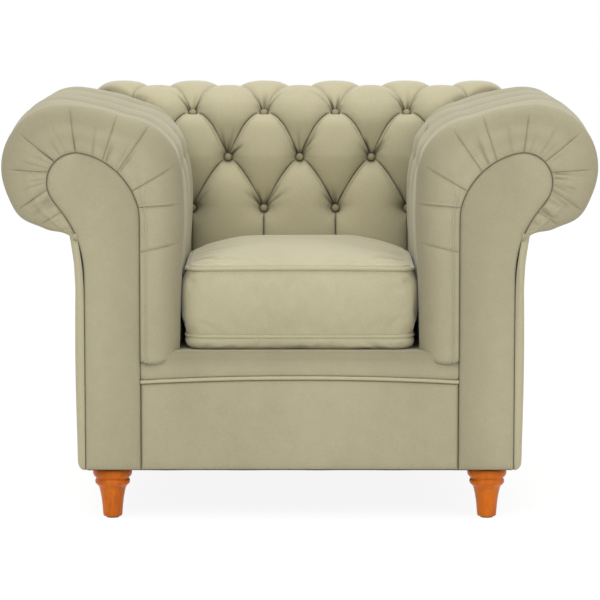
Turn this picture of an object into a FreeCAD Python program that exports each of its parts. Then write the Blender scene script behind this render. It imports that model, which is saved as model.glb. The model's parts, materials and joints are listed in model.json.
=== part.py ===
"""Chesterfield armchair with a deep-buttoned back, scroll arms and a loose seat cushion.

Millimetres. The chair faces -Y, +X is to the right as seen from the front, +Z is up, and the
origin is on the floor under the middle of the chair. Sections of the arms and of the back are
drawn as pairs of depth and height: the depth runs inwards from the outermost line of the roll.
"""

import FreeCAD, Part
import math
import os
from FreeCAD import Vector

# Overall sizes
OVERALL_WIDTH = 1140.0
OVERALL_DEPTH = 900.0
ARM_HEIGHT = 803.0
BACK_HEIGHT = 813.0
BASE_HEIGHT = 100.0
DECK_HEIGHT = 330.0
SEAT_CLEAR_WIDTH = 448.0
SEAT_DEPTH = 575.0

# Rolls and stuffing
ROLL_RADIUS = 121.0
ROLL_END_ANGLE = 65.0
ARM_STRAIGHT_HEIGHT = 655.0
ARM_SHOULDER_DEPTH = 240.0
ARM_SHOULDER_DROP = 25.0
BACK_RAKE = 66.0
BACK_STRAIGHT_HEIGHT = 735.0
BACK_SHOULDER_RISE = 58.0
NECK_DROP = 27.0
NECK_REACH = 53.0
NECK_THICKNESS = 22.0
BACK_STUFFING = 84.0
OUTSIDE_DEPTH = 142.0
PANEL_STUFFING = 15.5
PANEL_BEND_HEIGHT = 450.0

# Scroll outline of the arm facing and of the board behind it
SCROLL_INNER_DEPTH = 264.0
SCROLL_OUTER_DEPTH = 158.0
SCROLL_STRAIGHT_HEIGHT = 540.0
SCROLL_SHOULDER = (241.0, 652.0)
SCROLL_HEAD = (145.0, 654.0)
SCROLL_HEAD_RADIUS = 58.0
SCROLL_THROAT = (141.0, 556.0)
SCROLL_THROAT_HEIGHT = 470.0
FACING_THICKNESS = 8.0
FACING_EDGE = 2.5

# Head of the back frame
BACK_HEAD = (125.0, 680.0)
BACK_HEAD_RADIUS = 50.0
BACK_HEAD_SHOULDER = (176.0, 682.0)
BACK_LINE_HEIGHT = 585.0

# Buttoning
BUTTON_RADIUS = 9.0
BUTTON_RISE = 7.0
BUTTON_FLAT = 4.5
BUTTON_SKIRT = 3.0
ARM_BUTTON_ROOM = 22.5
BACK_BUTTON_ROOM = 18.0
BACK_PITCH = 151.0
BACK_ROWS = (221.0, 322.0, 423.0, 613.0)
BACK_BUTTON_DEPTH = 34.0
BACK_PLEAT_DEPTH = 19.0
ARM_PITCH = 190.0
ARM_ROWS = (275.0, 388.0)
ARM_BUTTON_DEPTH = 26.0
ARM_PLEAT_DEPTH = 14.0
FIRST_ARM_PLEAT = 167.0
CELL_FLATS = 6

# Wooden frame
BOARD_THICKNESS = 22.0
BOARD_REVEAL = 1.5
RAIL_THICKNESS = 25.0
RAIL_HEIGHT = 162.0
POST_DEPTH = 48.0
POST_THICKNESS = 30.0
TOP_RAIL_DEPTH = 80.0
TOP_RAIL_BOTTOM = 620.0
TOP_RAIL_START = 120.0
BACK_RAIL_DEPTH = 78.0
BACK_RAIL_START = 100.0
UPRIGHT_DEPTH = 30.0
UPRIGHT_WIDTH = 45.0
UPRIGHT_INNER_X = 140.0
TACKING_RAIL_HEIGHT = 40.0
TACKING_RAIL_THICKNESS = 25.0
SIDE_RAIL_DROP = 40.0
BLOCK_HEIGHT = 70.0
BLOCK_LENGTH = 90.0
BLOCK_WIDTH = 75.0
BLOCK_BEVEL = 35.0
REAR_BLOCK_LENGTH = 70.0
REAR_BLOCK_NOSE = 45.0
REAR_BLOCK_REACH = 80.0
REAR_BLOCK_END = 30.0
UPRIGHT_LAP = 2.0

# Suspension
SPRING_COUNT = 4
SPRING_SPACING = 140.0
SPRING_WIRE = 3.4
SPRING_WAVE = 60.0
SPRING_SWING = 44.0
CLIP_WIDTH = 14.0
CLIP_LENGTH = 18.0
CLIP_WALL = 2.0
TIE_WIRE_RADIUS = 1.6
WEBBING_WIDTH = 50.0
WEBBING_THICKNESS = 1.6
WEBBING_COUNT = 3
HESSIAN_THICKNESS = 2.5
DECK_COVER_THICKNESS = 4.0
DECK_LIP_THICKNESS = 6.0
DECK_LIP_SETBACK = 3.0
PAD_SIDE_CLEARANCE = 2.0
PAD_BACK_CLEARANCE = 3.0
WEBBING_START = 60.0
WEBBING_FOOT = 2.0

# Front border
BORDER_THICKNESS = 8.0
BORDER_SETBACK = 5.0
SEAM_HEIGHT = 278.6
SEAM_ARCH = 8.3
BORDER_PIPING_RADIUS = 3.5

# Cushion
CUSHION_SIDE_CLEARANCE = 2.0
CUSHION_FRONT_SETBACK = 20.0
CUSHION_BACK_CLEARANCE = 2.0
CUSHION_THICKNESS = 184.0
CUSHION_CROWN = 27.6
CROWN_FLAT = 0.75
CUSHION_CORNER_RADIUS = 46.0
CUSHION_SEAM_INSET = 10.0
CUSHION_PIPING_RADIUS = 4.0
CORNER_FLATS = 5

# Feet
FOOT_FRONT_X = 363.0
FOOT_FRONT_SETBACK = 55.0
FOOT_REAR_X = 352.0
FOOT_REAR_Y = 238.0
FOOT_TOP_RADIUS = 36.0
FOOT_BEAD_RADIUS = 38.2
FOOT_GROOVE_RADIUS = 32.0
FOOT_RING_RADIUS = 34.0
FOOT_NECK_RADIUS = 20.4
FOOT_TOE_RADIUS = 17.6
FOOT_BEAD_SHARE = 0.79
FOOT_RING_SHARE = 0.66
FOOT_NECK_SHARE = 0.4
FOOT_CHAMFER = 2.0
PLATE_SIZE = 60.0
PLATE_THICKNESS = 2.0
BOLT_RADIUS = 4.0
BOLT_LENGTH = 90.0
GLIDE_RADIUS = 12.0
GLIDE_THICKNESS = 2.0

# Fits
CLEARANCE = 0.3
BORE_CLEARANCE = 0.2
SEAT_GAP = 0.3
DUST_COVER_THICKNESS = 1.4

HALF_WIDTH = OVERALL_WIDTH / 2
HALF_DEPTH = OVERALL_DEPTH / 2
FRONT = -HALF_DEPTH
BOARD_FRONT = FRONT + FACING_THICKNESS
BOARD_BACK = BOARD_FRONT + BOARD_THICKNESS
BORDER_FRONT = FRONT + BORDER_SETBACK
RAIL_FRONT = BORDER_FRONT + BORDER_THICKNESS
RAIL_TOP = BASE_HEIGHT + RAIL_HEIGHT
ARM_INNER_DEPTH = HALF_WIDTH - SEAT_CLEAR_WIDTH / 2
BACK_FOOT_Y = BORDER_FRONT + SEAT_DEPTH
BACK_INNER_DEPTH = HALF_DEPTH - BACK_FOOT_Y
FRAME_OUTER_DEPTH = OUTSIDE_DEPTH + PANEL_STUFFING + 2.5
FRAME_OUTER_X = HALF_WIDTH - FRAME_OUTER_DEPTH
FRAME_REAR_Y = HALF_DEPTH - FRAME_OUTER_DEPTH
BOARD_INNER_X = HALF_WIDTH - SCROLL_INNER_DEPTH
FOOT_HEIGHT = BASE_HEIGHT - PLATE_THICKNESS
WEBBING_GAP = WEBBING_THICKNESS + 2 * BORE_CLEARANCE
BACK_RAIL_HALF = HALF_WIDTH - TOP_RAIL_START
CUSHION_HALF_X = SEAT_CLEAR_WIDTH / 2 - CUSHION_SIDE_CLEARANCE
CUSHION_FRONT = BORDER_FRONT + CUSHION_FRONT_SETBACK
CUSHION_REAR = BACK_FOOT_Y - CUSHION_BACK_CLEARANCE
CUSHION_HALF_Y = (CUSHION_REAR - CUSHION_FRONT) / 2
CUSHION_CENTRE_Y = (CUSHION_REAR + CUSHION_FRONT) / 2
CUSHION_BOTTOM = DECK_HEIGHT + SEAT_GAP
TOLERANCE = 1e-6
FLAT_TOLERANCE = 1e-4

# Frame pieces that the stuffing closes round
FRAME_IN_STUFFING = (
    "arm_tacking_rail_right", "arm_tacking_rail_left", "arm_top_rail_right", "arm_top_rail_left",
    "back_top_rail", "back_uprights",
)

parts = {}


def arm_place(depth, height, along):
    """A point of the right arm, along running from the front to the rear."""
    return Vector(HALF_WIDTH - depth, along, height)


def back_place(depth, height, along):
    """A point of the back, along running from left to right."""
    return Vector(along, HALF_DEPTH - depth, height)


def flip(shape):
    """The left-hand twin of a right-hand piece."""
    return shape.mirror(Vector(0, 0, 0), Vector(1, 0, 0))


def box(x0, x1, y0, y1, z0, z1):
    """A block between two corners."""
    return Part.makeBox(x1 - x0, y1 - y0, z1 - z0, Vector(x0, y0, z0))


def prism(points, direction):
    """A closed polygon pushed along a direction."""
    return Part.Face(Part.makePolygon(points + points[:1])).extrude(direction)


def plan_prism(corners, z0, z1):
    """A polygon of the plan, raised between two heights."""
    return prism([Vector(x, y, z0) for x, y in corners], Vector(0, 0, z1 - z0))


def piping(path, radius):
    """A cord of eight flats along a path."""
    edge = path.OrderedEdges[0]
    start = edge.valueAt(edge.FirstParameter)
    heading = edge.tangentAt(edge.FirstParameter)
    circle = Part.Circle(start, heading, radius)
    corners = [circle.value(math.pi / 4 * k) for k in range(9)]
    return path.makePipeShell([Part.makePolygon(corners)], True, False, 1)


def flats(corners):
    """One flat face through the corners, or two where they are not in one plane."""
    if len(corners) == 4:
        a, b, c, d = corners
        normal = (c - a).cross(d - b).normalize()
        if abs(normal.dot(b - a)) > FLAT_TOLERANCE:
            return flats([a, b, c]) + flats([a, c, d])
    return [Part.Face(Part.makePolygon(corners + corners[:1]))]


def strips(profiles):
    """Flat faces between each profile and the next, where a profile of one point is a tip."""
    faces = []
    for lower, upper in zip(profiles, profiles[1:]):
        for k in range(max(len(lower), len(upper)) - 1):
            corners = lower[k:k + 2] if len(lower) > 1 else lower
            corners = corners + (upper[k:k + 2][::-1] if len(upper) > 1 else upper)
            faces += flats(corners)
    return faces


def sewn(faces):
    """A solid closed by its faces."""
    skin = Part.Compound(faces)
    skin.sewShape(FLAT_TOLERANCE)
    body = Part.Solid(Part.Shell(skin.Faces))
    if body.Volume < 0:
        body.reverse()
    return body


def rod(start, end, radius):
    """A straight round rod between two points."""
    heading = end - start
    return Part.makeCylinder(radius, heading.Length, start, heading)


class Path:
    """A chain of lines and arcs in the section plane, from the seat over the roll."""

    def __init__(self, start):
        self.end = start
        self.pieces = []
        self.edges = []
        self.steps = []

    def line(self, end, steps=1):
        """Adds a straight run to a point."""
        return self.add((self.end, end), steps)

    def arc(self, through, end, steps=1):
        """Adds an arc through one point to another."""
        return self.add((self.end, through, end), steps)

    def add(self, points, steps):
        """Adds a piece and the number of spans that it is divided into."""
        self.pieces.append(points)
        self.edges.append(curve([Vector(d, 0, z) for d, z in points]))
        self.steps.append(steps)
        self.end = points[-1]
        return self

    @property
    def length(self):
        """The whole length of the chain."""
        return sum(edge.Length for edge in self.edges)

    def levels(self, after):
        """The ends of the spans that lie past a length."""
        found = []
        done = 0.0
        for edge, steps in zip(self.edges, self.steps):
            for step in range(1, steps + 1):
                found.append(done + edge.Length * step / steps)
            done += edge.Length
        return [level for level in found if level > after]

    def at(self, length):
        """The point at a length and the direction that faces away from the frame."""
        for edge in self.edges:
            if length <= edge.Length + TOLERANCE:
                break
            length -= edge.Length
        value = edge.getParameterByLength(min(length, edge.Length))
        point = edge.valueAt(value)
        heading = edge.tangentAt(value)
        return (point.x, point.z), (heading.z, -heading.x)

    def inset(self, length, amount):
        """The point at a length, moved towards the frame."""
        point, outward = self.at(length)
        return (point[0] - outward[0] * amount, point[1] - outward[1] * amount)

    def placed(self, place, along):
        """The edges of the chain at a place along the arm or the back."""
        return [curve([place(d, z, along) for d, z in points]) for points in self.pieces]


def curve(points):
    """A line through two points or an arc through three."""
    if len(points) == 2:
        return Part.LineSegment(*points).toShape()
    return Part.Arc(*points).toShape()


class Tufting:
    """Staggered rows of buttons on a section path, with a puffed cell between them."""

    def __init__(self, path, inner, place, rows, row_steps, pitch, start, count, depths):
        self.path = path
        self.inner = inner
        self.place = place
        self.rows = rows
        self.row_steps = row_steps
        self.pitch = pitch
        self.start = start
        self.count = count
        self.stop = start + count * pitch
        self.button_depth, self.pleat_depth = depths

    def surface(self, length, along, depth):
        """A point under the crown of the stuffing."""
        d, z = self.path.inset(length, depth)
        return self.place(d, z, along)

    def pleat(self, share):
        """The depth of a pleat between two buttons."""
        return self.button_depth - (self.button_depth - self.pleat_depth) * 4 * share * (1 - share)

    def levels(self, row):
        """Length, share of the full width and pleat depth of each section of a cell."""
        found = []
        here = self.rows[row]
        if row == 0:
            found.append((0.0, 1.0, self.pleat_depth))
            found.append((here * 0.7, 1.0, self.pleat_depth))
            found.append((here, 1.0, self.button_depth))
        else:
            below = self.rows[row - 1]
            steps = self.row_steps[row - 1]
            for step in range(steps + 1):
                share = step / steps
                found.append((below + (here - below) * share, share, self.pleat(share)))
        if row == len(self.rows) - 1:
            for level in self.path.levels(here + self.pitch / 8):
                found.append((level, 1.0, self.pleat_depth))
        else:
            above = self.rows[row + 1]
            steps = self.row_steps[row]
            for step in range(1, steps + 1):
                share = step / steps
                found.append((here + (above - here) * share, 1 - share, self.pleat(share)))
        return found

    def crown(self, share):
        """How far the middle of a cell lies under the crown where the cell is narrow."""
        return self.button_depth * (1 - share) ** 2

    def section(self, level, centre):
        """The puffed line across a cell, or the button point at its tip."""
        length, share, depth = level
        if share < TOLERANCE:
            return [self.surface(length, centre, self.button_depth)]
        half = share * self.pitch / 2
        left = self.surface(length, centre - half, depth)
        top = self.surface(length, centre, self.crown(share))
        right = self.surface(length, centre + half, depth)
        bend = Part.Arc(left, top, right)
        span = bend.LastParameter - bend.FirstParameter
        points = [bend.value(bend.FirstParameter + span * k / CELL_FLATS) for k in range(CELL_FLATS + 1)]
        points[0], points[CELL_FLATS // 2], points[-1] = left, top, right
        if centre < self.start + TOLERANCE:
            points = points[CELL_FLATS // 2:]
        if centre > self.stop - TOLERANCE:
            points = points[:CELL_FLATS // 2 + 1]
        return points

    def centres(self, row):
        """Where the cells of a row lie."""
        if row % 2:
            return [self.start + k * self.pitch for k in range(self.count + 1)]
        return [self.start + (k + 0.5) * self.pitch for k in range(self.count)]

    def rim(self, along):
        """The outer line of an end face."""
        found = [self.surface(length, along, depth) for length, _, depth in self.levels(0)[:3]]
        for row in range(1, len(self.rows), 2):
            for length, share, _ in self.levels(row)[1:]:
                found.append(self.surface(length, along, self.crown(share)))
        return found

    def cap(self, along):
        """A flat end face."""
        rim = self.rim(along)
        edges = [curve([a, b]) for a, b in zip(rim, rim[1:])]
        edges += self.inner.placed(self.place, along)
        first, last = self.inner.pieces[0][0], self.inner.end
        edges.append(curve([rim[0], self.place(*first, along)]))
        edges.append(curve([rim[-1], self.place(*last, along)]))
        return Part.Face(Part.Wire(Part.__sortEdges__(edges)))

    def edge_face(self, row, level, inner_point, rim_index):
        """The flat face between the last line of the cells and the frame side."""
        edges = []
        for centre in self.centres(row):
            edges += Part.makePolygon(self.section(level, centre)).Edges
        ends = [self.place(*inner_point, along) for along in (self.start, self.stop)]
        edges.append(curve(ends))
        edges.append(curve([self.rim(self.start)[rim_index], ends[0]]))
        edges.append(curve([self.rim(self.stop)[rim_index], ends[1]]))
        return Part.Face(Part.Wire(Part.__sortEdges__(edges)))

    def solid(self):
        """The pad: cells, end faces and the side towards the frame, sewn together."""
        faces = []
        for row in range(len(self.rows)):
            for centre in self.centres(row):
                faces += strips([self.section(level, centre) for level in self.levels(row)])
        run = self.place(0, 0, self.stop) - self.place(0, 0, self.start)
        for edge in self.inner.placed(self.place, self.start):
            faces.append(edge.extrude(run))
        faces += [self.cap(self.start), self.cap(self.stop)]
        top = len(self.rows) - 1
        faces.append(self.edge_face(0, self.levels(0)[0], self.inner.pieces[0][0], 0))
        faces.append(self.edge_face(top, self.levels(top)[-1], self.inner.end, -1))
        return sewn(faces)

    def seats(self, rows, inside):
        """Point and direction of each button whose place passes a test."""
        found = []
        for row in rows:
            shift = 0.5 * (row % 2)
            for k in range(self.count + 1):
                along = self.start + (k + shift) * self.pitch
                point = self.surface(self.rows[row], along, self.button_depth)
                outward = self.surface(self.rows[row], along, self.button_depth - 1.0) - point
                if inside(point):
                    found.append((point, outward))
        return found


def mitre_y(x):
    """The line of the mitre between an arm and the back."""
    slope = BACK_INNER_DEPTH / ARM_INNER_DEPTH
    return BACK_FOOT_Y + (abs(x) - SEAT_CLEAR_WIDTH / 2) * slope


def arm_region():
    """The room of the right arm, in front of its mitre."""
    near, far = SEAT_CLEAR_WIDTH / 4, OVERALL_WIDTH
    corners = [(near, BOARD_FRONT), (far, BOARD_FRONT), (far, mitre_y(far)), (near, mitre_y(near))]
    return plan_prism(corners, 0, BACK_HEIGHT * 2)


def back_region():
    """The room of the back, behind both mitres."""
    far = OVERALL_WIDTH
    corners = [(0, mitre_y(0)), (far, mitre_y(far)), (-far, mitre_y(far))]
    return plan_prism(corners, 0, BACK_HEIGHT * 2)


def arm_crown():
    """Crown of the arm: straight inner side, shoulder, roll and neck."""
    top = ARM_HEIGHT - ROLL_RADIUS
    turn = math.radians(ROLL_END_ANGLE)
    shoulder = (ARM_SHOULDER_DEPTH, ARM_HEIGHT - ARM_SHOULDER_DROP)
    rise = shoulder[1] - ARM_STRAIGHT_HEIGHT
    reach = ARM_INNER_DEPTH - shoulder[0]
    radius = (reach * reach + rise * rise) / (2 * reach)
    middle = math.atan2(rise, radius - reach) / 2
    through = (
        ARM_INNER_DEPTH - radius + radius * math.cos(middle),
        ARM_STRAIGHT_HEIGHT + radius * math.sin(middle),
    )
    low = (ROLL_RADIUS - ROLL_RADIUS * math.cos(turn), top - ROLL_RADIUS * math.sin(turn))
    path = Path((ARM_INNER_DEPTH, DECK_HEIGHT))
    path.line((ARM_INNER_DEPTH, ARM_STRAIGHT_HEIGHT))
    path.arc(through, shoulder, 2)
    between = ((shoulder[0] + ROLL_RADIUS) / 2, ARM_HEIGHT - ARM_SHOULDER_DROP * 0.3)
    path.arc(between, (ROLL_RADIUS, ARM_HEIGHT), 2)
    return roll(path, top, low)


def roll(path, centre_height, low):
    """The round roll and the neck under it, added to a path that ends on its top."""
    half = ROLL_RADIUS * math.sqrt(0.5)
    turn = math.radians(ROLL_END_ANGLE / 2)
    path.arc((ROLL_RADIUS - half, centre_height + half), (0, centre_height), 3)
    through = (ROLL_RADIUS - ROLL_RADIUS * math.cos(turn), centre_height - ROLL_RADIUS * math.sin(turn))
    path.arc(through, low, 2)
    path.line((low[0] + NECK_REACH, low[1] - NECK_DROP))
    return path


def back_crown():
    """Crown of the back: raked inner side, shoulder, roll and neck."""
    top = BACK_HEIGHT - ROLL_RADIUS
    turn = math.radians(ROLL_END_ANGLE)
    low = (ROLL_RADIUS - ROLL_RADIUS * math.cos(turn), top - ROLL_RADIUS * math.sin(turn))
    knee = (BACK_INNER_DEPTH - BACK_RAKE, BACK_STRAIGHT_HEIGHT)
    path = Path((BACK_INNER_DEPTH, DECK_HEIGHT))
    path.line(knee)
    path.arc((knee[0] - 44, knee[1] + BACK_SHOULDER_RISE), (ROLL_RADIUS, BACK_HEIGHT), 3)
    return roll(path, top, low)


def scroll(offset, bottom, stop=None):
    """Outline of the scroll, grown by an offset, from its inner foot over the head."""
    head = SCROLL_HEAD
    radius = SCROLL_HEAD_RADIUS + offset
    turn = math.radians(40)
    path = Path((SCROLL_INNER_DEPTH + offset, bottom))
    path.line((SCROLL_INNER_DEPTH + offset, SCROLL_STRAIGHT_HEIGHT))
    path.arc(
        (SCROLL_SHOULDER[0] + offset * 0.9, SCROLL_SHOULDER[1] + offset * 0.5),
        (head[0], head[1] + radius),
    )
    corner = radius * math.sqrt(0.5)
    path.arc((head[0] - corner, head[1] + corner), (head[0] - radius, head[1]))
    path.arc(
        (head[0] - radius * math.cos(turn / 2), head[1] - radius * math.sin(turn / 2)),
        (head[0] - radius * math.cos(turn), head[1] - radius * math.sin(turn)),
    )
    if stop:
        return path.line(stop)
    path.arc(
        (SCROLL_THROAT[0] - offset * 0.9, SCROLL_THROAT[1] - offset * 0.4),
        (SCROLL_OUTER_DEPTH - offset, SCROLL_THROAT_HEIGHT),
    )
    return path.line((SCROLL_OUTER_DEPTH - offset, bottom))


def back_line(height, offset=0.0):
    """Depth of the raked frame line of the back at a height."""
    return BACK_FRAME_FOOT[0] + offset - (height - BACK_FRAME_FOOT[1]) * BACK_RAKE / (
        BACK_STRAIGHT_HEIGHT - DECK_HEIGHT
    )


def back_frame_path(offset, start, stop):
    """Frame side of the back stuffing, from a low point over the head of the back."""
    head = BACK_HEAD
    radius = BACK_HEAD_RADIUS + offset
    corner = radius * math.sqrt(0.5)
    turn = math.radians(40)
    path = Path(start)
    path.line((back_line(BACK_LINE_HEIGHT, offset), BACK_LINE_HEIGHT))
    path.arc(
        (BACK_HEAD_SHOULDER[0] + offset * 0.8, BACK_HEAD_SHOULDER[1] + offset * 0.6),
        (head[0], head[1] + radius),
    )
    path.arc((head[0] - corner, head[1] + corner), (head[0] - radius, head[1]))
    path.arc(
        (head[0] - radius * math.cos(turn / 2), head[1] - radius * math.sin(turn / 2)),
        (head[0] - radius * math.cos(turn), head[1] - radius * math.sin(turn)),
    )
    return path.line(stop)


def closed_face(path, place, along):
    """The face inside a path whose ends are joined by a straight line."""
    edges = path.placed(place, along)
    edges.append(curve([place(*path.end, along), place(*path.pieces[0][0], along)]))
    return Part.Face(Part.Wire(Part.__sortEdges__(edges)))


def run_vector(place, length):
    """The direction along an arm or the back, at a length."""
    return place(0, 0, length) - place(0, 0, 0)


ARM_CROWN = arm_crown()
BACK_CROWN = back_crown()
BACK_FRAME_FOOT = BACK_CROWN.inset(0.0, BACK_STUFFING + WEBBING_GAP)


def pocket(seat):
    """The well that a button sits in."""
    point, outward = seat
    return Part.makeCylinder(BUTTON_RADIUS + CLEARANCE, BACK_BUTTON_DEPTH * 2, point, outward)


def button(seat):
    """A covered button: a flat back, a short skirt and a bevelled front with a flat middle."""
    point, outward = seat
    profile = [
        (0, 0), (BUTTON_RADIUS, 0), (BUTTON_RADIUS, BUTTON_SKIRT), (BUTTON_FLAT, BUTTON_RISE), (0, BUTTON_RISE),
    ]
    outline = Part.makePolygon([Vector(r, 0, z) for r, z in profile + profile[:1]])
    shape = Part.Face(outline).revolve(Vector(0, 0, 0), Vector(0, 0, 1), 360)
    shape.Placement = FreeCAD.Placement(point, FreeCAD.Rotation(Vector(0, 0, 1), outward))
    return shape


def make_inside_arm():
    """Stuffed and buttoned inner side and roll of the right arm, with its buttons."""
    stop = ARM_CROWN.inset(ARM_CROWN.length, NECK_THICKNESS)
    inner = scroll(WEBBING_GAP, DECK_HEIGHT, stop)
    tufting = Tufting(
        ARM_CROWN, inner, arm_place, ARM_ROWS, (3,), ARM_PITCH,
        BOARD_FRONT + FIRST_ARM_PLEAT - 1.5 * ARM_PITCH, 6,
        (ARM_BUTTON_DEPTH, ARM_PLEAT_DEPTH),
    )

    def inside(point):
        return BOARD_FRONT + ARM_BUTTON_ROOM < point.y < mitre_y(point.x) - ARM_BUTTON_ROOM

    seats = tufting.seats((0, 1), inside)
    pad = tufting.solid().common(arm_region())
    pad = pad.cut(Part.Compound([pocket(seat) for seat in seats]))
    return pad, Part.Compound([button(seat) for seat in seats])


def make_inside_back():
    """Stuffed and buttoned back with its roll, and its buttons."""
    stop = BACK_CROWN.inset(BACK_CROWN.length, NECK_THICKNESS)
    inner = back_frame_path(WEBBING_GAP, BACK_CROWN.inset(0.0, BACK_STUFFING), stop)
    tufting = Tufting(
        BACK_CROWN, inner, back_place, BACK_ROWS, (2, 2, 3), BACK_PITCH,
        -4.5 * BACK_PITCH, 9,
        (BACK_BUTTON_DEPTH, BACK_PLEAT_DEPTH),
    )

    def inside(point):
        return point.y > mitre_y(point.x) + BACK_BUTTON_ROOM

    seats = tufting.seats((0, 1, 2, 3), inside)
    pad = tufting.solid().common(back_region())
    pad = pad.cut(Part.Compound([pocket(seat) for seat in seats]))
    return pad, Part.Compound([button(seat) for seat in seats])


def make_facing():
    """Scroll-shaped padded panel on the front of the right arm, with a bevelled edge."""
    outlines = []
    for offset, along in ((0.0, BOARD_FRONT), (0.0, FRONT + FACING_EDGE), (-FACING_EDGE, FRONT)):
        outlines.append(closed_face(scroll(offset, BASE_HEIGHT - offset), arm_place, along).OuterWire)
    return Part.makeLoft(outlines, True, True)


def make_front_board():
    """Scroll-sawn board behind the facing."""
    face = closed_face(scroll(-BOARD_REVEAL, BASE_HEIGHT), arm_place, BOARD_FRONT)
    return face.extrude(run_vector(arm_place, BOARD_THICKNESS))


def head_rail(face, low, high, start, stop, place):
    """A rail from a low outer edge to a high inner depth, whose top follows the frame's head."""
    corners = [low, (high, low[1]), (high, BACK_HEIGHT), (low[0], BACK_HEIGHT)]
    blank = prism([place(d, z, start) for d, z in corners], run_vector(place, stop - start))
    return face.extrude(run_vector(place, stop - start)).common(blank)


def outside_panel(crown, place, start, stop):
    """Thin padded panel under the roll, from the base to the neck."""
    end, outward = crown.at(crown.length)
    heading = (-outward[1], outward[0])
    inner_end = crown.inset(crown.length, NECK_THICKNESS)
    top_outer = (end[0] + heading[0] * CLEARANCE, end[1] + heading[1] * CLEARANCE)
    top_inner = (inner_end[0] + heading[0] * CLEARANCE, inner_end[1] + heading[1] * CLEARANCE)
    bend = PANEL_BEND_HEIGHT
    path = Path((OUTSIDE_DEPTH, BASE_HEIGHT))
    path.line((OUTSIDE_DEPTH, bend))
    path.arc(((OUTSIDE_DEPTH * 2 + top_outer[0]) / 3, (bend + top_outer[1]) / 2), top_outer)
    path.line(top_inner)
    inner = OUTSIDE_DEPTH + PANEL_STUFFING
    path.arc(((inner * 2 + top_inner[0]) / 3, (bend + top_inner[1]) / 2), (inner, bend))
    path.line((inner, BASE_HEIGHT))
    return closed_face(path, place, start).extrude(run_vector(place, stop - start))


def panel_regions():
    """The rooms of the outside panels, mitred at the rear corners."""
    x = HALF_WIDTH - OUTSIDE_DEPTH
    y = HALF_DEPTH - OUTSIDE_DEPTH
    far = HALF_WIDTH
    arm = [(0, BOARD_FRONT), (x + far, BOARD_FRONT), (x + far, y + far), (0, y - x)]
    back = [(0, y - x), (x + far, y + far), (-x - far, y + far)]
    return plan_prism(arm, 0, BACK_HEIGHT), plan_prism(back, 0, BACK_HEIGHT)


def straps(path_low, path_high, place, places):
    """Webbing straps that follow the frame line, closed between two offset paths."""
    made = []
    for along in places:
        outline = path_high.placed(place, along)
        outline += path_low.placed(place, along)
        outline.append(curve([place(*path_low.pieces[0][0], along), place(*path_high.pieces[0][0], along)]))
        outline.append(curve([place(*path_low.end, along), place(*path_high.end, along)]))
        face = Part.Face(Part.Wire(Part.__sortEdges__(outline)))
        made.append(face.extrude(run_vector(place, WEBBING_WIDTH)))
    return Part.Compound(made)


def arm_strap_path(offset):
    """Line of the arm webbing, from the tacking rail to the top of the head."""
    radius = SCROLL_HEAD_RADIUS + offset
    path = Path((SCROLL_INNER_DEPTH + offset, DECK_HEIGHT + WEBBING_FOOT))
    path.line((SCROLL_INNER_DEPTH + offset, SCROLL_STRAIGHT_HEIGHT))
    return path.arc(
        (SCROLL_SHOULDER[0] + offset * 0.9, SCROLL_SHOULDER[1] + offset * 0.5),
        (SCROLL_HEAD[0], SCROLL_HEAD[1] + radius),
    )


def back_strap_path(offset):
    """Line of the back webbing, from the tacking rail to the top of the head."""
    low = DECK_HEIGHT - TACKING_RAIL_HEIGHT
    path = Path((back_line(low, offset), low))
    path.line((back_line(BACK_LINE_HEIGHT, offset), BACK_LINE_HEIGHT))
    return path.arc(
        (BACK_HEAD_SHOULDER[0] + offset * 0.8, BACK_HEAD_SHOULDER[1] + offset * 0.6),
        (BACK_HEAD[0], BACK_HEAD[1] + BACK_HEAD_RADIUS + offset),
    )


def rounded_outline(half_x, half_y, centre_y, height, radius):
    """A closed outline of four straight sides and four corners of a few flats."""
    points = []
    for sx, sy, first in ((1, 1, 0), (-1, 1, 90), (-1, -1, 180), (1, -1, 270)):
        for k in range(CORNER_FLATS + 1):
            turn = math.radians(first + 90 * k / CORNER_FLATS)
            x = sx * (half_x - radius) + radius * math.cos(turn)
            y = sy * (half_y - radius) + radius * math.sin(turn) + centre_y
            points.append(Vector(x, y, height))
    return points + points[:1]


def cushion_outline(inset, height):
    """The cushion's outline, drawn in by an amount."""
    radius = max(CUSHION_CORNER_RADIUS - inset * 0.25, 14.0)
    return rounded_outline(CUSHION_HALF_X - inset, CUSHION_HALF_Y - inset, CUSHION_CENTRE_Y, height, radius)


def crown_ring(share):
    """Inset and rise of a ring of the cushion's crown, a share of the way from seam to middle."""
    inset = CUSHION_SEAM_INSET + share * (CUSHION_HALF_X - CUSHION_SEAM_INSET)
    return inset, CUSHION_CROWN * (1 - (1 - share / CROWN_FLAT) ** 2)


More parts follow.
